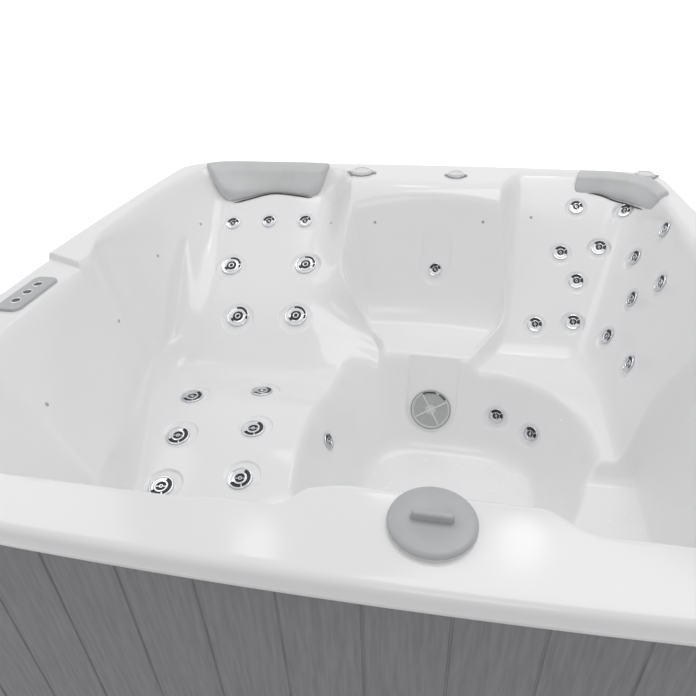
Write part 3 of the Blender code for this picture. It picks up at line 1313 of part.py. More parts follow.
def suction_pipe():
    """Pipe from the suction cover round the footwell to the pump, with a branch to the filter."""
    start = SUCTION_SEAT @ Vector((0, 0, -SUCTION_BOSS_LENGTH - CLEARANCE - SUCTION_COLLAR_LENGTH / 2))
    stop = pump_frame() @ Vector((0, 0, VOLUTE_LENGTH / 2 + PORT_LENGTH + CLEARANCE))
    leave = SUCTION_SEAT @ Vector((0, 0, -SUCTION_BOSS_LENGTH - 2 * SUCTION_COLLAR_LENGTH))
    run = [start, leave] + [waypoint(item) for item in SUCTION_RUN_SHARES] + [stop]
    obj = pipe("suction_pipe", run, MAIN_PIPE_RADIUS, PARTS)
    group = cutter_group("suction_shapes")
    low = -SUCTION_BOSS_LENGTH - CLEARANCE - SUCTION_COLLAR_LENGTH
    cylinder("collar", SUCTION_BOSS_RADIUS, low, low + SUCTION_COLLAR_LENGTH, group, SUCTION_SEAT)
    end = filter_frame() @ Vector((0, 0, -CANISTER_LENGTH - CLEARANCE))
    drop = end - Vector((0, 0, BRANCH_PIPE_RADIUS * 2))
    points = [waypoint(item) for item in BRANCH_RUN_SHARES] + [drop, end]
    pipe("branch", points, BRANCH_PIPE_RADIUS, group)
    boolean(obj, group, "UNION")
    return finish(obj, WHITE_PLASTIC)


def discharge_pipe():
    """Pipe from the pump's outlet to the heater's right end."""
    start = outlet_frame() @ Vector((0, 0, VOLUTE_RADIUS + PORT_LENGTH + CLEARANCE))
    rise = start + Vector((0, 0, MAIN_PIPE_RADIUS * 2))
    end = heater_end(1)
    ahead = end + Vector((MAIN_PIPE_RADIUS, 0, 0))
    run = [start, rise] + [waypoint(item) for item in DISCHARGE_RUN_SHARES] + [ahead, end]
    return finish(pipe("discharge_pipe", run, MAIN_PIPE_RADIUS, PARTS), WHITE_PLASTIC)


# The whole tub

def build():
    """Make every piece."""
    shell()
    for name, (radius, _, place) in JET_PLACES.items():
        jet(name, radius, place)
    jet_manifold()
    suction_cover()
    for name, shares, radius in knob_places():
        knob(name, shares, radius)
    control_panel()
    for name, spot in button_spots():
        button(name, spot)
    filter_canister()
    filter_cartridge()
    filter_lid()
    under = ground()
    pillow("pillow_lounge", LOUNGE_PILLOW_TOP_SHARES, LOUNGE_PILLOW_BOTTOM_SHARES, LOUNGE_PILLOW_DROP, under)
    pillow("pillow_corner", CORNER_PILLOW_TOP_SHARES, CORNER_PILLOW_BOTTOM_SHARES, CORNER_PILLOW_DROP, under)
    base_pan()
    frame()
    for side, name in enumerate(("front_access_panel", "right_panel", "back_panel", "left_panel")):
        cabinet_panel(name, side)
    pump_housing()
    pump_motor()
    pump_rotor()
    heater()
    control_box()
    suction_pipe()
    discharge_pipe()
    bpy.context.view_layer.update()


build()
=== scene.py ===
"""Looks of a square hot tub: fine acrylic, steel jets, foam pillows and trims round the frame model."""
import json
import math

import bmesh
import bpy
import numpy as np
from mathutils import Matrix, Vector


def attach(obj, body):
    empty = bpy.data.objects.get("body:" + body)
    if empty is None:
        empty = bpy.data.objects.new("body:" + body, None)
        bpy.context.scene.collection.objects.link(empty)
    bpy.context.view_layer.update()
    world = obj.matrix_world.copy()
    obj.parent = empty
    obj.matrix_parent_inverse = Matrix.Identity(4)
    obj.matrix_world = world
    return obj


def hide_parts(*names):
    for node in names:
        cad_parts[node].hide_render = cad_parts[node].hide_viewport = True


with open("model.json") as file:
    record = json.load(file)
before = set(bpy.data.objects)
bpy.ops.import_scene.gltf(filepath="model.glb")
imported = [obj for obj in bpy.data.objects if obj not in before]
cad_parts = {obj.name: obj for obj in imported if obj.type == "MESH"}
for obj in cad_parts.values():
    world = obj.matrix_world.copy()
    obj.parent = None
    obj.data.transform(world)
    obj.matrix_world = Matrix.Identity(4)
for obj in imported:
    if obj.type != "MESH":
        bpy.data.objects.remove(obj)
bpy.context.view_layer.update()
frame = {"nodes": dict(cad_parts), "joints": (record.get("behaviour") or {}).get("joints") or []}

# Overall sizes, in metres
HALF_WIDTH = 1.05
SIDE_BOW = 0.03
RIM_CORNER_RADIUS = 0.14
HEIGHT = 0.90
CLEARANCE = 0.0003
LEVEL_LIMIT_SHARE = 0.001

# Shell: wall, rim and deck
SHELL_THICKNESS = 0.008
RIM_ROUND = 0.020
LIP_DROP = 0.060
DECK_STEP = 0.020
DECK_STEP_RUN = 0.012
DECK_BREAK = 0.015
DECK_BREAK_SLANT = 0.40
DECK_EDGE_ROUND = 0.045

# Shell: levels of the places inside
FOOTWELL_HEIGHT = 0.075
CENTRE_SEAT_HEIGHT = 0.40
CORNER_SEAT_HEIGHT = 0.36
FRONT_SEAT_HEIGHT = 0.42
PLATFORM_HEIGHT = 0.30
FOOT_DISH_HEIGHT = 0.30
BOWL_HEIGHT = 0.44

# Shell: how softly one face turns into the next
BOWL_ROUND = 0.09
TIGHT_ROUND = 0.015
SEAT_ROUND = 0.03
WALL_ROUND = 0.05
BACKREST_ROUND = 0.06
PAN_ROUND = 0.34
FOOTWELL_ROUND = 0.035
FOOTWELL_FRONT_ROUND = 0.10
PLACE_BLEND = 0.02

# Shell: radii on plan, and the lounge's top edge in from the rim
FOOTWELL_CORNER_RADIUS = 0.22
PLATFORM_CORNER_RADIUS = 0.06
FRONT_SEAT_CORNER_RADIUS = 0.08
FOOT_DISH_RADIUS = 0.225
LOUNGE_TOP_BAND = 0.125

# Shell: rise of the walls, in metres of height for each metre across
BOWL_WALL_SLOPE = 2.2
BOWL_BACK_SLOPE = 0.85
BOWL_CREST_SLOPE = 5.0
LOUNGE_TOP_SLOPE = 1.6
DIVIDER_SLOPE = 6.0
FRONT_WALL_SLOPE = 5.0
FOOT_DISH_SLOPE = 1.6
CENTRE_BACK_SLOPE = 2.4
CENTRE_SIDE_SLOPE = 2.6
PAN_DIVIDER_SLOPE = 3.0
PAN_FRONT_SLOPE = 2.2
PLATFORM_SLOPE = 2.4
PLATFORM_SIDE_SLOPE = 5.0
PLATFORM_FRONT_SLOPE = 3.5
FOOTWELL_SLOPE = 2.1
FOOTWELL_FRONT_STEEPER = 1.7
FOOTWELL_EASY_SHARE = 0.36
FOOTWELL_EASY_ANGLE = 2.30
FOOTWELL_EASY_SPREAD = 0.35

# Shell: places on plan as shares of HALF_WIDTH, and heights as shares of HEIGHT
BOWL_LEFT_SHARE = 0.848
BOWL_RIGHT_SHARE = 0.857
BOWL_FRONT_SHARE = 0.80
BOWL_BACK_SHARE = 0.72
BOWL_CREST_LIMIT_SHARE = 0.79
BOWL_CREST_FOOT_SHARE = 0.40
CREST_HEIGHT_SHARES = ((-0.762, 0.556), (-0.438, 0.544), (-0.238, 0.506), (0.0, 0.478), (0.286, 0.478))
LOUNGE_FLOOR_SHARES = (
    (-0.810, 0.378), (-0.571, 0.378), (-0.429, 0.394), (-0.190, 0.439), (0.0, 0.428), (0.114, 0.402),
    (0.171, 0.409), (0.238, 0.461), (0.314, 0.531), (0.524, 0.672), (0.714, 0.791), (0.857, 0.889),
    (0.971, 0.968))
LOUNGE_FOOT_SHARES = (
    (-0.762, -0.524), (-0.595, -0.569), (-0.476, -0.611), (-0.329, -0.657), (-0.162, -0.710), (0.0, -0.762),
    (0.095, -0.781), (0.238, -0.781), (0.381, -0.786), (0.571, -0.810), (0.857, -0.857))
LOUNGE_RIGHT_SHARES = ((0.0, -0.229), (0.143, -0.248), (0.314, -0.271), (0.476, -0.290), (0.905, -0.290))
LOUNGE_RIGHT_SLOPE_SHARES = (
    (-0.095, 0.0), (0.048, 0.0), (0.133, 0.15), (0.238, -0.2), (0.333, -0.45), (0.390, -0.42), (0.448, 0.25),
    (0.571, 0.9), (0.762, 1.6))
LOUNGE_SIDE_ROUND_SHARES = ((0.0, 0.019), (0.381, 0.114), (0.857, 0.114))
LOUNGE_SIDE_SLOPE_SHARES = ((0.0, 5.0), (0.381, 2.8), (0.857, 2.8))
LOUNGE_LIMIT_SHARES = (
    (0.095, -0.010), (0.286, -0.014), (0.343, -0.024), (0.381, -0.052), (0.448, -0.095), (0.571, -0.148),
    (0.762, -0.195))
LOUNGE_END_SHARE = -0.762
FOOT_DISH_CENTRE_SHARES = (-0.343, -0.762)
CENTRE_LEFT_SHARES = (
    (0.286, -0.010), (0.343, -0.019), (0.381, -0.048), (0.448, -0.090), (0.571, -0.143), (0.667, -0.178),
    (0.762, -0.190))
CENTRE_RIGHT_SHARES = ((0.357, 0.343), (0.476, 0.392), (0.524, 0.411), (0.695, 0.405), (0.762, 0.400))
CENTRE_BACK_SHARE = 0.524
CENTRE_FRONT_SHARE = 0.0
CENTRE_MIDDLE_SHARE = 0.124
CENTRE_BACK_BOW_SHARE = 0.295
PAN_BACK_SHARE = 0.413
PAN_BACK_TOP_SHARE = 0.8846
PAN_SIDE_SHARE = 0.733
PAN_SIDE_TOP_SHARE = 0.9038
PAN_FRONT_SHARE = -0.238
PAN_DIVIDER_SHARES = ((0.286, 0.314), (0.476, 0.410), (0.571, 0.424), (0.762, 0.429))
PLATFORM_SHARES = (0.476, 1.2, -1.2, -0.152)
PLATFORM_SIDE_SHARE = 0.80
PLATFORM_FRONT_SHARE = -0.686
FRONT_SEAT_SHARES = (0.0, 0.571, -0.667, -0.190)
FOOTWELL_SHARES = (-0.038, 0.552, -1.2, 0.143)
FOOTWELL_FRONT_SHARE = -0.343
FOOTWELL_CHAMFER_SHARE = 0.574
FOOTWELL_CHAMFER_ANGLE = -33.2
FOOTWELL_TURN_SHARES = (0.210, -0.105)

# How deep a jet sits in the surface
JET_SEAT_DEPTH = 0.003

# Pillows: upper and lower edge on plan as shares of HALF_WIDTH, and how far the lower one hangs down
LOUNGE_PILLOW_DROP = 0.088
LOUNGE_PILLOW_TOP_SHARES = (
    (-0.843, 0.895), (-0.762, 0.926), (-0.581, 0.931), (-0.410, 0.931), (-0.329, 0.924))
LOUNGE_PILLOW_BOTTOM_SHARES = (
    (-0.740, 0.800), (-0.670, 0.822), (-0.557, 0.857), (-0.438, 0.850), (-0.370, 0.840))
CORNER_PILLOW_DROP = 0.060
CORNER_PILLOW_TOP_SHARES = (
    (0.667, 0.903), (0.743, 0.900), (0.833, 0.874), (0.902, 0.812), (0.919, 0.686))
CORNER_PILLOW_BOTTOM_SHARES = (
    (0.657, 0.851), (0.738, 0.849), (0.814, 0.820), (0.858, 0.760), (0.884, 0.686))

# Knobs on the deck
KNOB_BASE_HEIGHT = 0.005
KNOB_CAP_HEIGHT = 0.010
SPINDLE_RADIUS = 0.010
SPINDLE_LENGTH = 0.018
DIVERTER_RADIUS = 0.050
AIR_KNOB_RADIUS = 0.0375
CORNER_KNOB_RADIUS = 0.0415
DIVERTER_SHARES = (-0.173, 0.857)
CENTRE_KNOB_SHARES = (0.200, 0.848)
CORNER_KNOB_SHARES = (0.897, 0.897)

# Control panel and its buttons
PANEL_WIDTH = 0.075
PANEL_LENGTH = 0.200
PANEL_PLATE_HEIGHT = 0.008
PANEL_BODY_MARGIN = 0.013
PANEL_BODY_DEPTH = 0.035
PANEL_BAND = 0.100
PANEL_SHARE = -0.252
BUTTON_RADIUS = 0.011
BUTTON_HEIGHT = 0.005
BUTTON_WELL_DEPTH = 0.0055
BUTTON_TRAVEL = 0.0015
BUTTON_PITCH = 0.050

# Suction cover in the footwell
SUCTION_RADIUS = 0.0765
SUCTION_ALCOVE_MARGIN = 0.012
SUCTION_BOSS_RADIUS = 0.052
SUCTION_BOSS_WALL = 0.006
SUCTION_BOSS_LENGTH = 0.020
SUCTION_SHARES = (0.178, 0.207)

# Filter under the front deck
FILTER_SHARES = (0.238, -0.871)
CANISTER_RADIUS = 0.062
CANISTER_WALL = 0.004
CANISTER_FLANGE = 0.012
CANISTER_FLANGE_HEIGHT = 0.005
CANISTER_LENGTH = 0.330
CARTRIDGE_RADIUS = 0.052
CARTRIDGE_HEADROOM = 0.0257
CARTRIDGE_CAP_HEIGHT = 0.010
LID_THICKNESS = 0.009
LID_GRIP_LENGTH = 0.070
LID_GRIP_WIDTH = 0.014
LID_GRIP_HEIGHT = 0.014

# Cabinet
BASE_THICKNESS = 0.018
CABINET_INSET = 0.045
CABINET_CORNER_RADIUS = 0.125
PANEL_THICKNESS = 0.010
PANEL_TOP_GAP = 0.002

UP = Vector((0, 0, 1))
DOWN = Vector((0, 0, -1))


# Formulas

def ramp(distance, softness):
    """Zero behind the line, the distance past it, and a soft turn between."""
    turn = (distance + softness) ** 2 / (4 * softness)
    return np.where(distance < -softness, 0.0, np.where(distance > softness, distance, turn))


def lower(a, b, softness):
    """The lower of two surfaces, with their meeting edge rounded."""
    near = np.maximum(softness - np.abs(a - b), 0) / softness
    return np.minimum(a, b) - near * near * softness / 4


def higher(a, b, softness):
    """The higher of two surfaces, with their meeting edge rounded."""
    return -lower(-a, -b, softness)


def curve(at, table):
    """Smooth curve through a table of places and values, level beyond its ends."""
    places, values = np.array(table, dtype=float).T
    slopes = np.gradient(values, places)
    at = np.clip(at, places[0], places[-1])
    row = np.clip(np.searchsorted(places, at) - 1, 0, len(places) - 2)
    span = places[row + 1] - places[row]
    t = (at - places[row]) / span
    start = (1 + 2 * t) * (1 - t) ** 2 * values[row] + t * (1 - t) ** 2 * span * slopes[row]
    end = t * t * (3 - 2 * t) * values[row + 1] + t * t * (t - 1) * span * slopes[row + 1]
    return start + end


def outside(x, y, shares, radius):
    """Distance outside a rounded rectangle on plan: left, right, front and back shares."""
    left, right, front, back = (share * HALF_WIDTH for share in shares)
    across = np.abs(x - (left + right) / 2) - (right - left) / 2 + radius
    along = np.abs(y - (front + back) / 2) - (back - front) / 2 + radius
    corner = np.hypot(np.maximum(across, 0), np.maximum(along, 0))
    return corner + np.minimum(np.maximum(across, along), 0) - radius


# The tub's inner surface, as a height over the floor plan

def deck(x, y):
    """Flat rim, a step lower in front of two slanting lines."""
    line = -DECK_BREAK - DECK_BREAK_SLANT * (HALF_WIDTH - np.abs(x))
    t = np.clip((line - y) / DECK_STEP_RUN, 0, 1)
    return HEIGHT - DECK_STEP * t * t * (3 - 2 * t)


def bowl(x, y):
    """The space above the seats: the armrest on the left, and the front, right and back walls."""
    low_deck = HEIGHT - DECK_STEP
    crest_height = HEIGHT * curve(y / HALF_WIDTH, CREST_HEIGHT_SHARES)
    foot = HALF_WIDTH * curve(y / HALF_WIDTH, LOUNGE_FOOT_SHARES)
    crest = foot - (crest_height - BOWL_CREST_FOOT_SHARE * HEIGHT) / BOWL_CREST_SLOPE
    crest = np.maximum(crest, -BOWL_CREST_LIMIT_SHARE * HALF_WIDTH)
    edge = BOWL_LEFT_SHARE * HALF_WIDTH
    left = low_deck - (low_deck - crest_height) * (x + edge) / (crest + edge)
    right = low_deck - BOWL_WALL_SLOPE * (BOWL_RIGHT_SHARE * HALF_WIDTH - x)
    front = low_deck - BOWL_WALL_SLOPE * (y + BOWL_FRONT_SHARE * HALF_WIDTH)
    back = low_deck - BOWL_BACK_SLOPE * (BOWL_BACK_SHARE * HALF_WIDTH - y)
    level = higher(left, back, BOWL_ROUND)
    level = higher(higher(level, right, BOWL_ROUND), front, BOWL_ROUND)
    return higher(level, BOWL_HEIGHT, SEAT_ROUND)


def lounge(x, y):
    """The reclining place: its floor from the feet to the head, its two sides and its ends."""
    along = y / HALF_WIDTH
    foot = HALF_WIDTH * curve(along, LOUNGE_FOOT_SHARES)
    right = HALF_WIDTH * curve(along, LOUNGE_RIGHT_SHARES)
    limit = HALF_WIDTH * curve(along, LOUNGE_LIMIT_SHARES)
    side_round = HALF_WIDTH * curve(along, LOUNGE_SIDE_ROUND_SHARES)
    level = HEIGHT * curve(along, LOUNGE_FLOOR_SHARES)
    level = level + LOUNGE_TOP_SLOPE * ramp(y - HALF_WIDTH + LOUNGE_TOP_BAND, SEAT_ROUND)
    level = level + curve(along, LOUNGE_SIDE_SLOPE_SHARES) * ramp(foot - x, side_round)
    level = level + curve(along, LOUNGE_RIGHT_SLOPE_SHARES) * ramp(x - right, BACKREST_ROUND)
    level = level + DIVIDER_SLOPE * ramp(x - limit, TIGHT_ROUND)
    return level + FRONT_WALL_SLOPE * ramp(LOUNGE_END_SHARE * HALF_WIDTH - y, WALL_ROUND)


def foot_dish(x, y):
    """Round hollow at the lounge's foot end."""
    middle_x, middle_y = (share * HALF_WIDTH for share in FOOT_DISH_CENTRE_SHARES)
    out = np.hypot(x - middle_x, y - middle_y) - FOOT_DISH_RADIUS
    front = FRONT_WALL_SLOPE * ramp(middle_y - y, WALL_ROUND)
    return FOOT_DISH_HEIGHT + FOOT_DISH_SLOPE * ramp(out, SEAT_ROUND) + front


def centre_seat(x, y):
    """The seat at the middle of the back, with two flared sides and a bowed backrest."""
    left = HALF_WIDTH * curve(y / HALF_WIDTH, CENTRE_LEFT_SHARES)
    right = HALF_WIDTH * curve(y / HALF_WIDTH, CENTRE_RIGHT_SHARES)
    bow = CENTRE_BACK_BOW_SHARE * (x / HALF_WIDTH - CENTRE_MIDDLE_SHARE) ** 2
    back = (CENTRE_BACK_SHARE - bow) * HALF_WIDTH
    sides = ramp(left - x, SEAT_ROUND) + ramp(x - right, SEAT_ROUND)
    level = CENTRE_SEAT_HEIGHT + CENTRE_BACK_SLOPE * ramp(y - back, WALL_ROUND) + CENTRE_SIDE_SLOPE * sides
    return level + FRONT_WALL_SLOPE * ramp(CENTRE_FRONT_SHARE * HALF_WIDTH - y, SEAT_ROUND)


def corner_seat(x, y):
    """The scooped seat in the back right corner, whose two walls end at the low deck's height."""
    rise = HEIGHT - DECK_STEP - CORNER_SEAT_HEIGHT
    lean = (y / HALF_WIDTH - PAN_BACK_SHARE) / (PAN_BACK_TOP_SHARE - PAN_BACK_SHARE)
    tilt = (x / HALF_WIDTH - PAN_SIDE_SHARE) / (PAN_SIDE_TOP_SHARE - PAN_SIDE_SHARE)
    back = CORNER_SEAT_HEIGHT + rise * lean
    side = CORNER_SEAT_HEIGHT + rise * tilt
    edge = HALF_WIDTH * curve(y / HALF_WIDTH, PAN_DIVIDER_SHARES)
    level = higher(higher(back, side, PAN_ROUND), CORNER_SEAT_HEIGHT, WALL_ROUND)
    level = level + PAN_DIVIDER_SLOPE * ramp(edge - x, SEAT_ROUND)
    return level + PAN_FRONT_SLOPE * ramp(PAN_FRONT_SHARE * HALF_WIDTH - y, PLACE_BLEND)


def platform(x, y):
    """The low step at the front right."""
    out = outside(x, y, PLATFORM_SHARES, PLATFORM_CORNER_RADIUS)
    side = PLATFORM_SIDE_SLOPE * ramp(x - PLATFORM_SIDE_SHARE * HALF_WIDTH, SEAT_ROUND)
    front = PLATFORM_FRONT_SLOPE * ramp(PLATFORM_FRONT_SHARE * HALF_WIDTH - y, SEAT_ROUND)
    return PLATFORM_HEIGHT + PLATFORM_SLOPE * ramp(out, SEAT_ROUND) + side + front


def front_seat(x, y):
    """The small seat at the middle of the front."""
    out = outside(x, y, FRONT_SEAT_SHARES, FRONT_SEAT_CORNER_RADIUS)
    return FRONT_SEAT_HEIGHT + FRONT_WALL_SLOPE * ramp(out, SEAT_ROUND)


def footwell(x, y):
    """The deep middle, with a chamfered right side, a gentler back left and a steeper front."""
    out = outside(x, y, FOOTWELL_SHARES, FOOTWELL_CORNER_RADIUS)
    angle = math.radians(FOOTWELL_CHAMFER_ANGLE)
    chamfer = x * math.cos(angle) + y * math.sin(angle) - FOOTWELL_CHAMFER_SHARE * HALF_WIDTH
    front = FOOTWELL_FRONT_STEEPER * (FOOTWELL_FRONT_SHARE * HALF_WIDTH - y)
    out = higher(higher(out, chamfer, FOOTWELL_FRONT_ROUND), front, FOOTWELL_FRONT_ROUND)
    middle_x, middle_y = (share * HALF_WIDTH for share in FOOTWELL_TURN_SHARES)
    turn = (np.arctan2(y - middle_y, x - middle_x) - FOOTWELL_EASY_ANGLE) / FOOTWELL_EASY_SPREAD
    slope = FOOTWELL_SLOPE * (1 - FOOTWELL_EASY_SHARE * np.exp(-turn * turn))
    return FOOTWELL_HEIGHT + slope * ramp(out, FOOTWELL_ROUND)


def surface(x, y):
    """Height of the tub's inner surface at a place on plan."""
    level = lower(lounge(x, y), foot_dish(x, y), TIGHT_ROUND)
    for place in (centre_seat, corner_seat, platform, front_seat, bowl):
        level = lower(level, place(x, y), PLACE_BLEND)
    level = lower(level, footwell(x, y), SEAT_ROUND)
    return lower(level, deck(x, y), DECK_EDGE_ROUND)


def smooth(t):
    """A soft step from zero to one."""
    t = np.clip(t, 0, 1)
    return t * t * (3 - 2 * t)


def pointing(origin, axis):
    """A frame at a point, its Z along an axis and its X level."""
    axis = Vector(axis).normalized()
    side = UP.cross(axis)
    if side.length < LEVEL_LIMIT_SHARE:
        side = Vector((1, 0, 0))
    side.normalize()
    turn = Matrix((side, axis.cross(side), axis)).transposed().to_4x4()
    return Matrix.Translation(origin) @ turn


def on_plan(shares, height):
    """A point from its shares of HALF_WIDTH."""
    return Vector((shares[0] * HALF_WIDTH, shares[1] * HALF_WIDTH, height))


def on_surface(x, y, reach=0.01):
    """Frame on the tub's surface, its Z along the surface's normal."""
    slope_x = float(surface(x + reach, y) - surface(x - reach, y)) / (2 * reach)
    slope_y = float(surface(x, y + reach) - surface(x, y - reach)) / (2 * reach)
    return pointing((x, y, float(surface(x, y))), (-slope_x, -slope_y, 1))


def suction_seat():
    """Frame of the suction cover's seat, as the frame model has it."""
    radius = SUCTION_RADIUS
    place = on_surface(*on_plan(SUCTION_SHARES, 0).xy, reach=radius / 3)
    axis = place.to_3x3().col[2]
    lowest = 0.0
    for step in range(8):
        angle = math.tau * step / 8
        rim = place @ Vector((radius * math.cos(angle), radius * math.sin(angle), 0))
        lowest = min(lowest, (float(surface(rim.x, rim.y)) - rim.z) * axis.z)
    return place @ Matrix.Translation((0, 0, lowest - JET_SEAT_DEPTH))


# Materials

NOISE_RANGE = (0.3, 0.7)
CELL_RANGE = (0.0, 0.6)
LEAST_ROUGHNESS = 0.02
DIMPLE_SCALE = 30.0
DIMPLE_HEIGHT = 0.0008
DIMPLE_RANGE = (0.25, 0.02)
# Reach of the white specks on the dimples: painted highlights standing in for glints
PAINTED_GLINT_RANGE = (0.15, 0.07)
FLOOR_BAND = (FOOTWELL_HEIGHT + 0.006, FOOTWELL_HEIGHT + 0.002)
STEP_TOP_BAND = (PLATFORM_HEIGHT + 0.008, PLATFORM_HEIGHT + 0.004)
STEP_FOOT_BAND = (PLATFORM_HEIGHT - 0.012, PLATFORM_HEIGHT - 0.002)
STEP_LEFT_BAND = (0.53, 0.54)


def node(tree, kind, **values):
    """A shader node, with its sockets and settings by name."""
    made = tree.nodes.new("ShaderNode" + kind)
    for key, value in values.items():
        socket = key.replace("_", " ")
        if socket in made.inputs:
            made.inputs[socket].default_value = value
        else:
            setattr(made, key, value)
    return made


def join(tree, *pairs):
    """Link each pair of sockets."""
    for source, target in pairs:
        tree.links.new(source, target)


def noise(tree, coords, scale, detail, stretch):
    """Noise over the piece's own coordinates."""
    mapping = node(tree, "Mapping", Scale=stretch)
    made = node(tree, "TexNoise", Scale=scale, Detail=detail)
    join(tree, (coords, mapping.inputs["Vector"]), (mapping.outputs["Vector"], made.inputs["Vector"]))
    return made.outputs[0]


def cells(tree, coords, scale):
    """Distance to the nearest of many scattered points."""
    made = node(tree, "TexVoronoi", Scale=scale)
    join(tree, (coords, made.inputs["Vector"]))
    return made.outputs["Distance"]


def between(tree, value, limits, low=0.0, high=1.0, kind="LINEAR"):
    """A value between two limits, stretched to low and high."""
    made = node(tree, "MapRange", From_Min=limits[0], From_Max=limits[1], To_Min=low, To_Max=high,
                interpolation_type=kind)
    join(tree, (value, made.inputs["Value"]))
    return made.outputs["Result"]


def maths(tree, operation, first, second):
    made = node(tree, "Math", operation=operation)
    join(tree, (first, made.inputs[0]), (second, made.inputs[1]))
    return made.outputs[0]


def tinted(tree, factor, first, second):
    """Give the shader a blend of two colours, each written out or from a socket."""
    mix = node(tree, "Mix", data_type="RGBA")
    sockets = [socket for socket in mix.inputs if socket.type == "RGBA"]
    for socket, value in zip(sockets, (first, second)):
        if isinstance(value, tuple):
            socket.default_value = (*value, 1)
        else:
            join(tree, (value, socket))
    result = [socket for socket in mix.outputs if socket.type == "RGBA"][0]
    colour = tree.nodes["Principled BSDF"].inputs["Base Color"]
    join(tree, (factor, mix.inputs["Factor"]), (result, colour))


def plain(name, colour, roughness, metallic=0.0, grain=30.0, spread=0.03, uneven=0.04,
          peel=0.00002, peel_scale=900.0, stretch=(1, 1, 1), cell_scale=0.0):
    """A surface whose colour, roughness and relief vary a little over it."""
    made = bpy.data.materials.new(name)
    made.use_nodes = True
    tree = made.node_tree
    shader = tree.nodes["Principled BSDF"].inputs
    shader["Metallic"].default_value = metallic
    coords = node(tree, "TexCoord").outputs["Object"]
    if cell_scale:
        factor = between(tree, cells(tree, coords, cell_scale), CELL_RANGE)
    else:
        factor = between(tree, noise(tree, coords, grain, 4.0, stretch), NOISE_RANGE)
    tinted(tree, factor, *(tuple(min(c * tint, 1) for c in colour) for tint in (1 - spread, 1 + spread)))
    rough = between(tree, noise(tree, coords, grain * 3, 2.0, stretch), NOISE_RANGE,
                    max(roughness - uneven, LEAST_ROUGHNESS), roughness + uneven)
    fine = noise(tree, coords, peel_scale, 2.0, stretch)
    bump = node(tree, "Bump", Strength=1.0, Distance=peel)
    join(tree, (rough, shader["Roughness"]), (fine, bump.inputs["Height"]),
         (bump.outputs["Normal"], shader["Normal"]))
    return made


def acrylic_material():
    """Glossy acrylic, dimpled underfoot on the footwell floor and the low step, with white specks on the
    dimples as painted highlights for their glints.
    """
    made = plain("acrylic", (0.87, 0.87, 0.875), 0.12, 0.0, 2.2, 0.010, 0.03, 0.00001, 260.0)
    tree = made.node_tree
    bump = tree.nodes["Bump"]
    coords = node(tree, "TexCoord").outputs["Object"]
    split = node(tree, "SeparateXYZ")
    join(tree, (coords, split.inputs["Vector"]))
    height = split.outputs["Z"]
    band = maths(
        tree, "MULTIPLY", between(tree, height, STEP_TOP_BAND), between(tree, height, STEP_FOOT_BAND))
    step = maths(tree, "MULTIPLY", band, between(tree, split.outputs["X"], STEP_LEFT_BAND))
    floor = maths(tree, "MAXIMUM", between(tree, height, FLOOR_BAND), step)
    dots = cells(tree, coords, DIMPLE_SCALE)
    domes = maths(tree, "MULTIPLY", floor, between(tree, dots, DIMPLE_RANGE, kind="SMOOTHSTEP"))
    relief = node(tree, "Bump", Strength=1.0, Distance=DIMPLE_HEIGHT)
    join(tree, (domes, relief.inputs["Height"]), (relief.outputs["Normal"], bump.inputs["Normal"]))
    ground = tree.nodes["Principled BSDF"].inputs["Base Color"].links[0].from_socket
    # White specks over the dimples: painted highlights standing in for glints
    tinted(tree, maths(tree, "MULTIPLY", floor, between(tree, dots, PAINTED_GLINT_RANGE)), ground, (1, 1, 1))
    return made


# In order: name, colour, roughness, metal, grain, spread of colour and of roughness, relief and its
# scale, stretch
ACRYLIC = acrylic_material()
CHROME = plain("chrome", (0.66, 0.67, 0.69), 0.10, 1.0, 40.0, 0.03, 0.04, 0.000004, 500.0)
# Dark chrome of the knob bases, also darkened as painted shade under each cap's rim
DARK_CHROME_AND_SHADE = plain("dark_chrome_and_painted_shade", (0.30, 0.31, 0.33), 0.16, 1.0, 40.0, 0.05, 0.04, 0.000004, 500.0)
GAP = plain("jet_gap", (0.012, 0.012, 0.014), 0.35, 0.0, 60.0, 0.2, 0.08)
FOAM = plain("foam", (0.60, 0.605, 0.61), 0.52, 0.0, 12.0, 0.03, 0.06, 0.00006, 1400.0)
SHADOW = plain("shadow_grey_plastic", (0.30, 0.305, 0.31), 0.45, 0.0, 30.0, 0.05, 0.06, 0.00003, 1500.0)
GREY = plain("grey_plastic", (0.46, 0.47, 0.48), 0.38, 0.0, 30.0, 0.03, 0.06, 0.00004, 1500.0)
PALE = plain("pale_grey_plastic", (0.60, 0.61, 0.61), 0.34, 0.0, 30.0, 0.03, 0.06, 0.00003, 1500.0)
DARK = plain("dark_plastic", (0.045, 0.045, 0.05), 0.42, 0.0, 30.0, 0.10, 0.06, 0.00004, 1500.0)
WHITE = plain("white_plastic", (0.74, 0.74, 0.735), 0.30, 0.0, 25.0, 0.02, 0.05, 0.00002, 1200.0)
BOARD = plain("cabinet_board", (0.21, 0.21, 0.22), 0.62, 0.0, 14.0, 0.14, 0.08, 0.00022, 90.0, (9, 9, 0.6))
PAPER = plain("filter_cloth", (0.70, 0.74, 0.78), 0.90, 0.0, 90.0, 0.05, 0.05, 0.00015, 1500.0)
ZINC = plain("galvanised_steel", (0.50, 0.52, 0.54), 0.45, 0.9, 40.0, 0.18, 0.10, 0.00002, 300.0,
             cell_scale=55.0)
PAINT = plain("motor_paint", (0.30, 0.31, 0.33), 0.40, 0.3, 30.0, 0.06, 0.06, 0.00005, 700.0)
STEEL = plain("brushed_steel", (0.58, 0.59, 0.61), 0.28, 1.0, 60.0, 0.06, 0.10, 0.00002, 400.0, (1, 14, 14))
LENS = plain("lens", (0.62, 0.63, 0.65), 0.08, 0.0, 60.0, 0.05, 0.02, 0.00001, 800.0)


# Shapes

WELD = 0.000002
SHARP = 35.0
EDGE_STEPS = 4


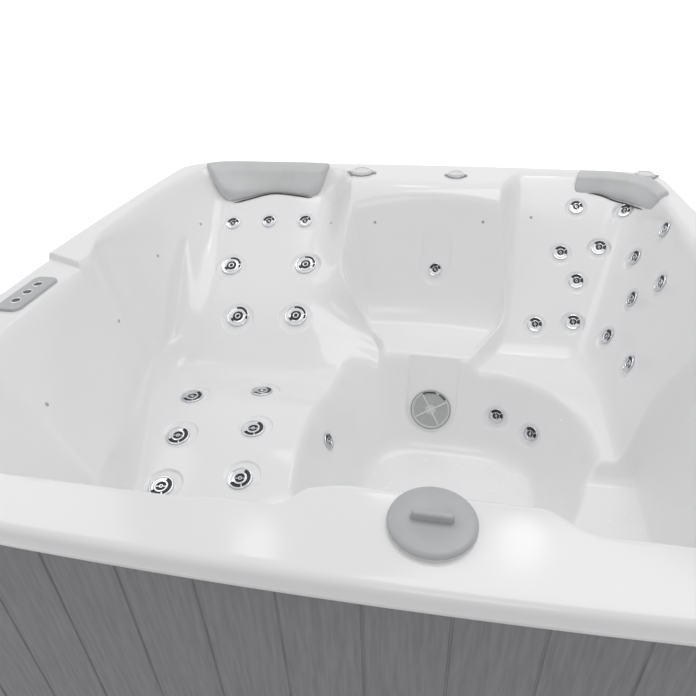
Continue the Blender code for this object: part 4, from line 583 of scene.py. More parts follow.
class Shape:
    """Vertices and faces gathered for one mesh."""

    def __init__(self):
        self.verts = []
        self.faces = []

    def loft(self, rings, caps=True, joined=True):
        """Quads between rings of points, and a face over each end."""
        base = len(self.verts)
        count = len(rings[0])
        self.verts += [Vector(point) for ring in rings for point in ring]
        for row in range(len(rings) - 1):
            for step in range(count if joined else count - 1):
                ahead = (step + 1) % count
                first, second = base + row * count, base + (row + 1) * count
                self.faces.append((first + step, first + ahead, second + ahead, second + step))
        if caps:
            last = base + (len(rings) - 1) * count
            self.faces += [tuple(range(start, start + count)) for start in (base, last)]
        return self

    def turned(self, profile, place, steps=48, closed=False, start=0.0, sweep=math.tau, size=1.0,
               lobes=0, swell=0.0):
        """A profile of radius, a share of size, and height, turned round Z; a closed one makes a ring."""
        whole = sweep == math.tau
        profile = [(share * size, height) for share, height in profile]
        rings = []
        for step in range(steps if whole else steps + 1):
            angle = start + sweep * step / steps
            grow = 1 + swell * math.cos(lobes * angle)
            rings.append([place @ Vector((r * grow * math.cos(angle), r * grow * math.sin(angle), z))
                          for r, z in profile])
        if whole:
            rings.append(rings[0])
        return self.loft(rings, caps=closed and not whole, joined=closed)

    def tube(self, path, radius, steps=10):
        """A thin round cord along a path, drawn to a point at both ends."""
        rings = []
        for number, point in enumerate(path):
            ahead = path[min(number + 1, len(path) - 1)] - path[max(number - 1, 0)]
            frame_there = pointing(point, ahead)
            size = radius * min(1, (number + 0.3) / 3, (len(path) - number - 0.7) / 3)
            rings.append([frame_there @ Vector((size * math.cos(math.tau * step / steps),
                                                size * math.sin(math.tau * step / steps), 0))
                          for step in range(steps)])
        return self.loft(rings)

    def slab(self, half_x, half_y, radius, low, high, edge, place, steps=6):
        """A rounded plate with a rounded upper edge."""
        def outline(inset, height):
            corner = max(radius - inset, edge / 10)
            points = []
            for number, (sx, sy) in enumerate(((1, 1), (-1, 1), (-1, -1), (1, -1))):
                for step in range(steps + 1):
                    angle = math.pi / 2 * (number + step / steps)
                    x = sx * (half_x - inset - corner) + corner * math.cos(angle)
                    y = sy * (half_y - inset - corner) + corner * math.sin(angle)
                    points.append(place @ Vector((x, y, height)))
            return points
        rings = [outline(0, low)]
        for step in range(EDGE_STEPS + 1):
            angle = math.pi / 2 * step / EDGE_STEPS
            rings.append(outline(edge * (1 - math.cos(angle)), high - edge + edge * math.sin(angle)))
        return self.loft(rings)

    def mesh(self, name, sharp=SHARP):
        data = bpy.data.meshes.new(name)
        data.from_pydata([tuple(v) for v in self.verts], [], self.faces)
        bm = bmesh.new()
        bm.from_mesh(data)
        bmesh.ops.remove_doubles(bm, verts=bm.verts, dist=WELD)
        bmesh.ops.recalc_face_normals(bm, faces=bm.faces)
        bm.to_mesh(data)
        bm.free()
        data.shade_smooth()
        data.set_sharp_from_angle(angle=math.radians(sharp))
        return data


def placed(name, data):
    """A new object in the scene."""
    obj = bpy.data.objects.new(name, data)
    bpy.context.scene.collection.objects.link(obj)
    return obj


def put(name, shape, material, body, slot, *nodes, sharp=SHARP):
    """Place a piece, let it ride on its body and hide the frame nodes it stands for."""
    obj = placed(name, shape.mesh(name, sharp) if isinstance(shape, Shape) else shape)
    obj.data.materials.append(material)
    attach(obj, body)
    if nodes:
        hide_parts(*nodes)
    return obj


# Places of the jets, from the joints that carry them: names, radius, kind and turn of the opening

JETS = (
    ("lounge_back_jet_{}", 1, 3, 0.030, "small", 95), ("lounge_back_jet_{}", 4, 7, 0.044, "large", 0),
    ("lounge_leg_jet_{}", 1, 6, 0.038, "medium", 0), ("centre_jet", 1, 1, 0.026, "small", 90),
    ("corner_neck_jet_{}", 1, 3, 0.0275, "small", 80), ("corner_back_jet_{}", 1, 10, 0.029, "small", 65),
    ("footwell_jet_{}", 1, 4, 0.0285, "small", 70))
LEG_GAP_WAY = Vector((0.85, -0.55, 0))
JOINTS = {joint["name"]: joint for joint in frame["joints"]}


def jet_list():
    """Each jet's name, frame, radius, kind and the way its opening turns."""
    rows = []
    for pattern, first, last, radius, kind, angle in JETS:
        for number in range(first, last + 1):
            name = pattern.format(number)
            joint = JOINTS[name + "_turn"]
            place = pointing(joint["pos_m"], joint["axis"])
            turn = math.radians(angle)
            if kind == "medium":
                way = place.to_3x3().inverted() @ LEG_GAP_WAY
                turn = math.atan2(way.y, way.x)
            rows.append((name, place, radius, kind, turn))
    return rows


JET_ROWS = jet_list()
SUCTION_SEAT = suction_seat()
CENTRE_ROW = [row for row in JET_ROWS if row[0] == "centre_jet"][0]
FILTER_PLACE = Matrix.Translation(on_plan(FILTER_SHARES, HEIGHT - DECK_STEP))


# Shell: fineness of its grid, dishes round the jets, and holes

SQUARES = 236
BEND_LIMIT = 0.013
RISE_SHARE = 1.4
RIM_FINE_STEPS = 8
RIM_STEPS = RIM_FINE_STEPS + 2
DISH_SHARE = 1.56
DISH_OFFSET = 0.20
DISH_DEPTH = 0.055
DISH_WIDTH = 0.13
DISH_LOW_WIDTH = 0.10
NARROW_DISH = (1.14, 0.06)
LEG_DISH_WAY = Vector((0.5, 0.7, 0))
SEAT_DROP = 0.0006
RECESS_REACH = 0.06
CHANNEL_HALF_WIDTH = 0.055
HOLE_SHARE = 0.66
HOLE_REACH = 0.03
HOLE_PULL_SHARE = 1.3
HOLE_PULL_REACH = 0.002
SUCTION_HOLE_GAP = 0.0004
FILTER_HOLE_GAP = 0.0008
FINE_SPOTS = ((SUCTION_SEAT, 0.13), (FILTER_PLACE, 0.075), (CENTRE_ROW[1], 0.10))
SHELL_SHARP = math.radians(50)


def plan(u, v, inset=RIM_ROUND):
    """Place on plan of a point of the unit square, whose edge is the rim's outline moved in."""
    reach = np.maximum(np.abs(u), np.abs(v))
    safe = np.where(reach > 0, reach, 1)
    a, b = np.abs(u) / safe * HALF_WIDTH, np.abs(v) / safe * HALF_WIDTH
    start = HALF_WIDTH - SIDE_BOW - RIM_CORNER_RADIUS
    span = HALF_WIDTH - start
    turn = math.pi / 4 * np.where(a >= b, (b - start) / span, 2 - (a - start) / span)
    arc = RIM_CORNER_RADIUS - inset
    corner = np.minimum(a, b) > start
    side = HALF_WIDTH - inset
    x = np.where(corner, start + arc * np.cos(turn), np.where(a >= b, side - SIDE_BOW * (b / start) ** 2, a))
    y = np.where(corner, start + arc * np.sin(turn), np.where(a >= b, b, side - SIDE_BOW * (a / start) ** 2))
    return np.copysign(x * reach, u), np.copysign(y * reach, v)


def out_of(place, points):
    """Points of a frame, as the world has them."""
    matrix = np.array(place)
    return points @ matrix[:3, :3].T + matrix[:3, 3]


def into(place, points):
    """Points in a frame's own coordinates."""
    return out_of(place.inverted(), points)


def away_from(place, spots):
    """Distance on plan of each spot from a frame."""
    return np.hypot(*(spots - np.array(place.translation.xy)).T)


def pressed(points):
    """The surface's points with the dish round each jet, the cover's alcove and the centre jet's channel."""
    def near(place, reach):
        return np.where(np.all(np.abs(points - np.array(place.translation)) < reach, axis=1))[0]

    def recess(place, half_width, edge, reach, top, fade):
        rows = near(place, reach)
        local = into(place, points[rows])
        across, along, out = local.T
        distance = np.where(along > 0, np.abs(across), np.hypot(across, along)) - half_width
        keep = np.maximum(smooth(distance / edge), smooth((along - top) / fade))
        keep = np.where(np.abs(out) > RECESS_REACH, 1, keep)
        local[:, 2] = np.minimum(out, -SEAT_DROP) * (1 - keep) + out * keep
        points[rows] = out_of(place, local)

    recess(SUCTION_SEAT, SUCTION_RADIUS + SUCTION_ALCOVE_MARGIN, edge=0.009, reach=0.24, top=0.20, fade=0.02)
    recess(CENTRE_ROW[1], CHANNEL_HALF_WIDTH, edge=0.006, reach=0.20, top=0.050, fade=0.12)
    for name, place, radius, kind, _ in JET_ROWS:
        rows = near(place, radius * 2)
        local = into(place, points[rows])
        way = place.to_3x3().inverted() @ (LEG_DISH_WAY if kind == "medium" else DOWN)
        way = np.array(way.xy.normalized())
        share = local[:, :2] / radius
        narrow = name == "centre_jet"
        off = share - way * (0 if narrow else DISH_OFFSET)
        away = np.hypot(*off.T)
        side = (off @ way) / np.maximum(away, 0.001)
        outer, width = NARROW_DISH if narrow else (DISH_SHARE, DISH_WIDTH + DISH_LOW_WIDTH * (1 - side))
        keep = smooth((away - outer + width) / width)
        rim = smooth((np.hypot(*share.T) - 1.0) / 0.3) * (1 + side) / 2
        level = -SEAT_DROP - DISH_DEPTH * radius * rim * (0 if narrow else 1)
        keep = np.where(np.abs(local[:, 2]) < radius, keep, 1)
        local[:, 2] = level * (1 - keep) + local[:, 2] * keep
        points[rows] = out_of(place, local)
    return points


def refined(bm, level):
    """Split the squares round the jets and where the surface bends."""
    flat = np.array([vert.co[:2] for vert in bm.verts])
    x, y = plan(*flat.T)
    heights = surface(x, y)
    faces = list(bm.faces)
    corners = [[vert.index for vert in face.verts] for face in faces]
    mean = np.array([heights[row].mean() for row in corners])
    rise = np.array([np.ptp(heights[row]) for row in corners])
    spots = np.stack(plan(*np.array([flat[row].mean(0) for row in corners]).T), 1)
    size = 2 * HALF_WIDTH / SQUARES / 2 ** level
    steep = np.sqrt(1 + (rise / size / RISE_SHARE) ** 2)
    chosen = np.abs(surface(*spots.T) - mean) / steep > BEND_LIMIT * size * steep ** 0.5
    for _, place, radius, _, _ in JET_ROWS:
        chosen |= away_from(place, spots) < radius * (DISH_SHARE + DISH_OFFSET) + size
    for place, radius in FINE_SPOTS:
        chosen |= away_from(place, spots) < radius
    edges = {edge for face, wanted in zip(faces, chosen) if wanted for edge in face.edges}
    bmesh.ops.subdivide_edges(bm, edges=list(edges), cuts=1, use_grid_fill=True)
    bm.verts.index_update()


def opened(bm):
    """Open the sheet for the jets, the suction fitting and the filter, with round edges."""
    holes = [(place, radius * HOLE_SHARE) for _, place, radius, _, _ in JET_ROWS]
    holes += [(SUCTION_SEAT, SUCTION_BOSS_RADIUS + SUCTION_HOLE_GAP),
              (FILTER_PLACE, CANISTER_RADIUS + FILTER_HOLE_GAP)]
    faces = list(bm.faces)
    centres = np.array([face.calc_center_median() for face in faces])
    gone = np.zeros(len(faces), bool)
    for place, radius in holes:
        local = into(place, centres)
        gone |= (np.hypot(local[:, 0], local[:, 1]) < radius) & (np.abs(local[:, 2]) < HOLE_REACH)
    bmesh.ops.delete(bm, geom=[face for face, wanted in zip(faces, gone) if wanted], context="FACES")
    edge_verts = [vert for vert in bm.verts if vert.is_boundary]
    spots = np.array([vert.co for vert in edge_verts])
    for place, radius in holes:
        local = into(place, spots)
        away = np.hypot(local[:, 0], local[:, 1])
        reach = radius * HOLE_PULL_SHARE + HOLE_PULL_REACH
        for row in np.where((away < reach) & (np.abs(local[:, 2]) < HOLE_REACH))[0]:
            local[row, :2] *= radius / away[row]
            edge_verts[row].co = out_of(place, local[row:row + 1])[0]


def shell_mesh():
    """The acrylic sheet: a fine grid laid on the surface, turned down round the rim."""
    bm = bmesh.new()
    bmesh.ops.create_grid(bm, x_segments=SQUARES, y_segments=SQUARES, size=1)
    for level in range(2):
        refined(bm, level)
    layer = bm.verts.layers.int.new("step")
    border = [edge for edge in bm.edges if edge.is_boundary]
    for step in range(1, RIM_STEPS + 1):
        made = bmesh.ops.extrude_edge_only(bm, edges=border)["geom"]
        border = [item for item in made if isinstance(item, bmesh.types.BMEdge)]
        for item in made:
            if isinstance(item, bmesh.types.BMVert):
                item[layer] = step
    flat = np.array([vert.co[:2] for vert in bm.verts])
    steps = np.array([vert[layer] for vert in bm.verts])
    x, y = plan(*flat.T)
    points = np.stack([x, y, surface(x, y)], 1)
    inner = steps == 0
    points[inner] = pressed(points[inner])
    for step in range(1, RIM_STEPS + 1):
        rows = steps == step
        angle = math.pi / 2 * min(step / RIM_FINE_STEPS, 1)
        x, y = plan(*flat[rows].T, RIM_ROUND * (1 - math.sin(angle)))
        z = deck(x, y) - RIM_ROUND * (1 - math.cos(angle))
        share = max(step - RIM_FINE_STEPS, 0) / (RIM_STEPS - RIM_FINE_STEPS)
        points[rows] = np.stack([x, y, z + (HEIGHT - LIP_DROP - z) * share], 1)
    for vert, point in zip(bm.verts, points):
        vert.co = point
    opened(bm)
    bmesh.ops.recalc_face_normals(bm, faces=bm.faces)
    if max(bm.faces, key=lambda face: face.calc_area()).normal.z < 0:
        bmesh.ops.reverse_faces(bm, faces=bm.faces)
    data = bpy.data.meshes.new("acrylic_shell")
    bm.to_mesh(data)
    bm.free()
    data.shade_smooth()
    data.set_sharp_from_angle(angle=SHELL_SHARP)
    return data


def make_shell():
    obj = put("acrylic_shell", shell_mesh(), ACRYLIC, "tub", "acrylic", "shell")
    wall = obj.modifiers.new("wall", "SOLIDIFY")
    wall.thickness = SHELL_THICKNESS
    wall.offset = -1


# Jets: radii as shares of the jet's own, heights in metres

JET_FLOOR = 0.0008
LARGE_BEZEL, SMALL_BEZEL = 0.90, 0.85
LARGE_RING = (
    (0.72, JET_FLOOR), (0.72, 0.0040), (0.71, 0.0050), (0.68, 0.0055), (0.60, 0.0050), (0.49, 0.0040),
    (0.47, 0.0028), (0.47, JET_FLOOR))
LARGE_EYE = (
    (0.27, JET_FLOOR), (0.27, 0.0052), (0.26, 0.0062), (0.225, 0.0066), (0.18, 0.0060), (0.16, 0.0048),
    (0.155, JET_FLOOR))
LARGE_FACE = (
    (LARGE_BEZEL, JET_FLOOR), (LARGE_BEZEL, 0.0034), (0.81, 0.0040), (0.72, 0.0036), (0.72, JET_FLOOR))
LARGE_TAIL = ((0.68, 0.0040), (0.68, 0.0060), (0.49, 0.0056), (0.49, 0.0030))
SMALL_EYE = (
    (0.17, JET_FLOOR), (0.17, 0.0042), (0.15, 0.0048), (0.10, 0.0048), (0.07, 0.0036), (0.07, JET_FLOOR))
SMALL_MIDDLES = {"small": (0.50, 165), "medium": (0.58, 215)}
BARREL_SHARE = 0.62
BARREL_LENGTH = 0.018


def bridge(outer, inner):
    """Profile of a bar across a groove."""
    return (outer, JET_FLOOR), (outer, 0.0030), (inner, 0.0030), (inner, JET_FLOOR)


def make_jets():
    for name, place, radius, kind, angle in JET_ROWS:
        steel, dark = Shape(), Shape()
        bezel = LARGE_BEZEL if kind == "large" else SMALL_BEZEL

        def ring(profile, steps=48):
            steel.turned(profile, place, steps, True, size=radius)

        def piece(shape, profile, start, sweep, steps=3):
            shape.turned(profile, place, steps, True, angle + math.radians(start), math.radians(sweep),
                         radius)

        ring(((1.0, 0.0003), (1.0, 0.0024), (0.990, 0.0038), (0.970, 0.0048), (0.945, 0.0052),
              (bezel + 0.02, 0.0048), (bezel + 0.005, 0.0036), (bezel, 0.0022), (bezel, JET_FLOOR)))
        dark.turned(((0, 0.0009), (bezel + 0.01, 0.0009), (bezel + 0.01, 0.0003), (0, 0.0003)), place,
                    size=radius)
        if kind == "large":
            ring(LARGE_RING)
            ring(LARGE_EYE, 32)
            piece(steel, LARGE_FACE, 108, 237, 40)
            piece(steel, LARGE_FACE, 8, 8)
            piece(dark, LARGE_TAIL, 205, 34, 6)
        else:
            wide, gap = SMALL_MIDDLES[kind]
            piece(steel, ((bezel, JET_FLOOR), (bezel, 0.0036), ((bezel + wide) / 2, 0.0043), (wide, 0.0036),
                          (wide, JET_FLOOR)), gap / 2, 360 - gap, 32)
            ring(((wide, JET_FLOOR), (wide, 0.0042), (wide - 0.02, 0.0054), (wide - 0.06, 0.0058),
                  (0.42, 0.0052), (0.40, 0.0040), (0.395, JET_FLOOR)))
            ring(SMALL_EYE, 24)
            for start in (35, 215):
                piece(steel, bridge(0.40, 0.16), start, 12)
            piece(steel, bridge(bezel, wide), -36, 8)
        barrel = radius * BARREL_SHARE
        dark.turned(((0, 0.0002), (barrel, 0.0002), (barrel, 0.001 - BARREL_LENGTH),
                     (barrel - 0.002, -BARREL_LENGTH), (0, -BARREL_LENGTH)), place, 32)
        put(name + "_steel", steel, CHROME, name, "jet_steel", name)
        put(name + "_gap", dark, GAP, name, "dark_plastic")


# Suction cover and pin lights: radii of the cover as shares of its own

COVER_RING = (
    (1.0, 0.0003), (1.0, 0.0035), (0.985, 0.0070), (0.95, 0.0092), (0.90, 0.0100), (0.86, 0.0094),
    (0.84, 0.0078), (0.84, 0.0040))
COVER_FLOOR = 0.0044
COVER_HUB = ((0, 0.0088), (0.20, 0.0086), (0.25, 0.0078), (0.25, COVER_FLOOR), (0, COVER_FLOOR))
# Dark arcs and a dark ring on the cover's rim: painted shade standing for its slits and a groove
SLIT_SHADE = ((0.915, 0.0090), (0.915, 0.0104), (0.835, 0.0104), (0.835, 0.0070))
GROOVE_SHADE = ((0.965, 0.0060), (0.965, 0.0092), (0.945, 0.0096), (0.945, 0.0060))
COVER_BARS = 56
BAR_SHARES = (0.24, 0.845)
PIN_RING = (
    (0.0058, -0.0005), (0.0058, 0.0006), (0.0050, 0.0014), (0.0040, 0.0014), (0.0036, 0.0008),
    (0.0036, -0.0005))
PIN_LENS = (
    (0, 0.0021), (0.0014, 0.0019), (0.0026, 0.0014), (0.0036, 0.0004), (0.0036, -0.0005), (0, -0.0005))
PINS = (
    (-0.843, 0.678), (-0.893, 0.370), (-0.850, -0.032), (-0.782, -0.517), (-0.094, 0.689), (0.330, 0.698),
    (0.520, 0.817), (-0.285, 0.729))
CLEAR_PIN = 8


def make_suction_cover():
    place = SUCTION_SEAT
    size = SUCTION_RADIUS
    inner = SUCTION_BOSS_RADIUS - SUCTION_BOSS_WALL
    ring, back, ribs, cross, shade_marks = Shape(), Shape(), Shape(), Shape(), Shape()
    ring.turned(COVER_RING, place, 72, True, size=size)
    back.turned(((0, 0.0045), (size * 0.85, 0.0045), (size * 0.85, 0.0003), (SUCTION_BOSS_RADIUS, 0.0003),
                 (SUCTION_BOSS_RADIUS, -SUCTION_BOSS_LENGTH), (inner, -SUCTION_BOSS_LENGTH), (inner, 0.0030),
                 (0, 0.0030)), place, 48)
    low, high = (size * share for share in BAR_SHARES)
    for step in range(COVER_BARS):
        turn = place @ Matrix.Rotation(math.tau * (step + 0.5) / COVER_BARS, 4, "Z")
        ribs.loft([[turn @ Vector((r, side * half, z))
                    for side, z in ((-1, COVER_FLOOR), (-1, 0.0078), (1, 0.0078), (1, COVER_FLOOR))]
                   for r, half in ((low, 0.0007), (high, 0.0024))])
    ribs.turned(COVER_HUB, place, 32, size=size)
    for number in range(4):
        turn = place @ Matrix.Rotation(math.radians(30 + 90 * number), 4, "Z")
        cross.slab(size * 0.42, 0.0024, 0.0012, COVER_FLOOR, 0.0104, 0.0012,
                   turn @ Matrix.Translation((size * 0.43, 0, 0)), 3)
    # Painted shade: dark arcs where the slits open, and a dark ring for the groove
    for start, sweep in ((76, 44), (40, 26)):
        shade_marks.turned(SLIT_SHADE, place, 16, True, math.radians(start), math.radians(sweep), size)
    shade_marks.turned(GROOVE_SHADE, place, 72, True, size=size)
    # These dark pieces are painted shade, not plastic parts of the cover
    put("suction_painted_shade", shade_marks, DARK, "tub", "grey_plastic")
    put("suction_ring", ring, PALE, "tub", "grey_plastic", "suction_cover")
    put("suction_back", back, SHADOW, "tub", "grey_plastic")
    put("suction_ribs", ribs, PALE, "tub", "grey_plastic")
    put("suction_cross", cross, WHITE, "tub", "grey_plastic")


def make_pin_lights():
    for number, spot in enumerate(PINS, 1):
        place = on_surface(*spot)
        ring = Shape().turned(PIN_RING, place, 24, True)
        lens = Shape().turned(PIN_LENS, place, 24)
        put(f"pin_light_{number}_ring", ring, GREY, "tub", "grey_plastic")
        put(f"pin_light_{number}_lens", lens, LENS if number == CLEAR_PIN else GREY, "tub", "grey_plastic")


# Knobs: radii as shares of the knob's own, and the crown's heights as shares of the knob's

KNOBS = (("diverter_knob", DIVERTER_SHARES, DIVERTER_RADIUS),
         ("air_knob_centre", CENTRE_KNOB_SHARES, AIR_KNOB_RADIUS),
         ("air_knob_corner", CORNER_KNOB_SHARES, CORNER_KNOB_RADIUS))
KNOB_BASE = (
    (0, 0.0003), (1, 0.0003), (1, 0.0034), (0.985, 0.0048), (0.955, 0.0054), (0.93, 0.0050), (0.92, 0.0036),
    (0, 0.0036))
KNOB_SPINDLE = (
    (0, 0.0003), (SPINDLE_RADIUS, 0.0003), (SPINDLE_RADIUS, 0.001 - SPINDLE_LENGTH), (0, -SPINDLE_LENGTH))
KNOB_SIDE = ((0.91, 0.0037), (0.91, 0.0058), (0.90, 0.0068), (0.87, 0.0074), (0.86, 0.0084))
KNOB_CROWN = (
    (0.855, 0.72), (0.84, 0.84), (0.80, 0.93), (0.74, 0.985), (0.66, 1), (0.56, 0.985), (0.46, 0.93),
    (0.25, 0.89), (0, 0.88))
KNOB_ARC = ((0.60, 0.97), (0.60, 1.03), (0.56, 1.03), (0.56, 0.95))
KNOB_LOBES = 16
KNOB_LOBE_SHARE = 0.006


def make_knobs():
    top = KNOB_BASE_HEIGHT + KNOB_CAP_HEIGHT
    crown, arc = ([(share, top * height) for share, height in rows] for rows in (KNOB_CROWN, KNOB_ARC))
    for name, shares, radius in KNOBS:
        place = Matrix.Translation(on_plan(shares, HEIGHT))
        base, cap, tabs = Shape(), Shape(), Shape()
        base.turned(KNOB_BASE, place, 72, size=radius)
        base.turned(KNOB_SPINDLE, place, 24)
        base.turned(arc, place, 40, True, math.radians(20), math.radians(150), radius)
        cap.turned([*KNOB_SIDE, *crown], place, 96, size=radius, lobes=KNOB_LOBES, swell=KNOB_LOBE_SHARE)
        for side in (0, math.pi):
            turn = place @ Matrix.Rotation(side, 4, "Z") @ Matrix.Translation((radius * 1.04, 0, 0))
            tabs.slab(radius * 0.19, radius * 0.15, radius * 0.08, 0.0008, 0.0075, 0.003, turn)
        # The dark base ring round the cap's foot is partly painted shade under the cap's rim
        put(name + "_base", base, DARK_CHROME_AND_SHADE, name, "jet_steel", name)
        put(name + "_cap", cap, WHITE, name, "white_plastic")
        put(name + "_tabs", tabs, GREY, name, "grey_plastic")


# Control panel and buttons

WELL_MARGIN = 0.0006
BUTTON_RING = (
    (0.0150, 0.0), (0.0148, 0.0006), (0.0140, 0.0010), (0.0126, 0.0010), (0.0118, 0.0006), (0.0117, 0.0))
BUTTON_FACE = (
    (0, 0.0006), (0.0050, 0.0004), (0.0085, 0), (0.0098, 0.0003), (0.0106, 0.0009), (0.0110, 0.0018))


def hollowed(data, cutter):
    """A mesh with another cut out of it."""
    objs = [placed("cut", data), placed("cutter", cutter)]
    modifier = objs[0].modifiers.new("cut", "BOOLEAN")
    modifier.object = objs[1]
    bpy.context.view_layer.update()
    graph = bpy.context.evaluated_depsgraph_get()
    made = bpy.data.meshes.new_from_object(objs[0].evaluated_get(graph))
    for obj in objs:
        bpy.data.objects.remove(obj)
    made.materials.clear()
    made.shade_smooth()
    made.set_sharp_from_angle(angle=math.radians(SHARP))
    return made


def make_control_panel():
    place = Matrix.Translation((PANEL_BAND - HALF_WIDTH, PANEL_SHARE * HALF_WIDTH, HEIGHT - DECK_STEP))
    plate, wells, body, rings = Shape(), Shape(), Shape(), Shape()
    half_x, half_y, margin = PANEL_WIDTH / 2, PANEL_LENGTH / 2, PANEL_BODY_MARGIN
    top = CLEARANCE + PANEL_PLATE_HEIGHT
    plate.slab(half_x, half_y, 0.022, CLEARANCE, top, 0.003, place, 10)
    body.slab(half_x - margin, half_y - margin, 0.004, -PANEL_BODY_DEPTH, -0.0005, 0.002, place)
    spots = [place @ Matrix.Translation((0, (step - 1) * BUTTON_PITCH, top)) for step in range(3)]
    well = BUTTON_RADIUS + WELL_MARGIN
    for spot in spots:
        wells.turned(((0, 0.03), (well, 0.03), (well, -BUTTON_WELL_DEPTH), (0, -BUTTON_WELL_DEPTH)), spot, 40)
        rings.turned(BUTTON_RING, spot, 40, True)
    put("panel_plate", hollowed(plate.mesh("plate"), wells.mesh("wells")), GREY, "tub", "grey_plastic",
        "control_panel")
    put("panel_body", body, DARK, "tub", "dark_plastic")
    put("panel_button_rings", rings, CHROME, "tub", "jet_steel")
    low = BUTTON_TRAVEL + CLEARANCE - BUTTON_WELL_DEPTH
    high = low + BUTTON_HEIGHT
    for name, spot in zip(("heat_button", "light_button", "pump_button"), spots):
        profile = [(r, high - drop) for r, drop in BUTTON_FACE] + [(BUTTON_RADIUS, low), (0, low)]
        put(name + "_cap", Shape().turned(profile, spot, 40), DARK, name, "dark_plastic", name)


# Filter

PLEATS = 48
PLEAT_REACHES = (0.0508, 0.0500, 0.0445, 0.0453)
PLEAT_TURNS = (0.25, -0.25, 0.25, -0.25)
CAP_BORE = 0.018
CAP_EDGE = 0.0015


def make_filter():
    place = FILTER_PLACE
    outer, inner = CANISTER_RADIUS, CANISTER_RADIUS - CANISTER_WALL
    edge = CANISTER_RADIUS + CANISTER_FLANGE
    top, floor = CLEARANCE + CANISTER_FLANGE_HEIGHT, CANISTER_WALL - CANISTER_LENGTH
    can, cloth, caps, lid = Shape(), Shape(), Shape(), Shape()
    can.turned((
        (0, floor), (inner, floor), (inner, top - 0.001), (inner + 0.001, top), (outer + 0.010, top),
        (edge, top - 0.002), (edge, CLEARANCE), (outer, CLEARANCE), (outer, 0.003 - CANISTER_LENGTH),
        (outer - 0.003, -CANISTER_LENGTH), (0, -CANISTER_LENGTH)), place, 72)
    low, high = floor + CLEARANCE, -CARTRIDGE_HEADROOM
    rings = []
    for z in np.linspace(low + 0.006, high - 0.006, 9):
        ring = []
        for step in range(4 * PLEATS):
            reach = PLEAT_REACHES[step % 4]
            angle = math.tau * (step + PLEAT_TURNS[step % 4]) / (4 * PLEATS)
            ring.append(place @ Vector((reach * math.cos(angle), reach * math.sin(angle), z)))
        rings.append(ring)
    cloth.loft(rings)
    size = CARTRIDGE_RADIUS
    for z0, z1 in ((low, low + CARTRIDGE_CAP_HEIGHT), (high - CARTRIDGE_CAP_HEIGHT, high)):
        caps.turned(((CAP_BORE, z0), (size - CAP_EDGE, z0), (size, z0 + CAP_EDGE), (size, z1 - CAP_EDGE),
                     (size - CAP_EDGE, z1), (CAP_BORE, z1)), place, 64, True)
    low = 2 * CLEARANCE + CANISTER_FLANGE_HEIGHT
    high = low + LID_THICKNESS
    plug = CANISTER_RADIUS - CANISTER_WALL * 1.5
    lid.turned((
        (0, high - 0.0010), (edge * 0.45, high - 0.0010), (edge * 0.50, high), (edge - 0.008, high),
        (edge - 0.003, high - 0.0015), (edge - 0.0008, high - 0.0040), (edge, high - 0.0062), (edge, low),
        (plug, low), (plug, low - LID_THICKNESS), (0, low - LID_THICKNESS)), place, 72)
    lid.slab(LID_GRIP_LENGTH / 2, LID_GRIP_WIDTH / 2, 0.0065, high - 0.002, high + LID_GRIP_HEIGHT, 0.005,
             place, 8)
    put("filter_can", can, WHITE, "tub", "white_plastic", "filter_canister")
    put("filter_pleats", cloth, PAPER, "filter_cartridge", "paper", "filter_cartridge", sharp=80)
    put("filter_end_caps", caps, GREY, "filter_cartridge", "paper")
    put("filter_cover", lid, GREY, "filter_lid", "grey_plastic", "filter_lid")


# Pillows: the brow's points from the top edge, the front's between the top edge and the lip

STATIONS = 26
PILLOW_BROW = ((-0.013, 0.002), (-0.014, 0.009), (-0.008, 0.0165), (0.004, 0.020))
PILLOW_FRONT = (
    (0.14, 0.0215), (0.28, 0.0240), (0.36, 0.0225), (0.48, 0.0185), (0.64, 0.0150), (0.80, 0.0110),
    (0.93, 0.0060))
PILLOW_BACK = (0.02, 0.10, 0.25, 0.45, 0.65, 0.85)
PILLOW_ENDS = ((0.06, 0.004), (0.24, 0.008), (0.55, 0.0105))
PILLOW_LIFT = 0.0012
# Dark cord along each pillow's lower edge: painted shadow of the gap between pillow and shell
SHADOW_LINE_INSET = 0.0035
SHADOW_LINE_LIFT = 0.0025
SHADOW_LINE_RADIUS = 0.0030


def stations(shares):
    """Both coordinates of a line at every station along it."""
    places, at = np.linspace(0, 1, len(shares)), np.linspace(0, 1, STATIONS)
    return [curve(at, tuple(zip(places, values))) for values in zip(*shares)]


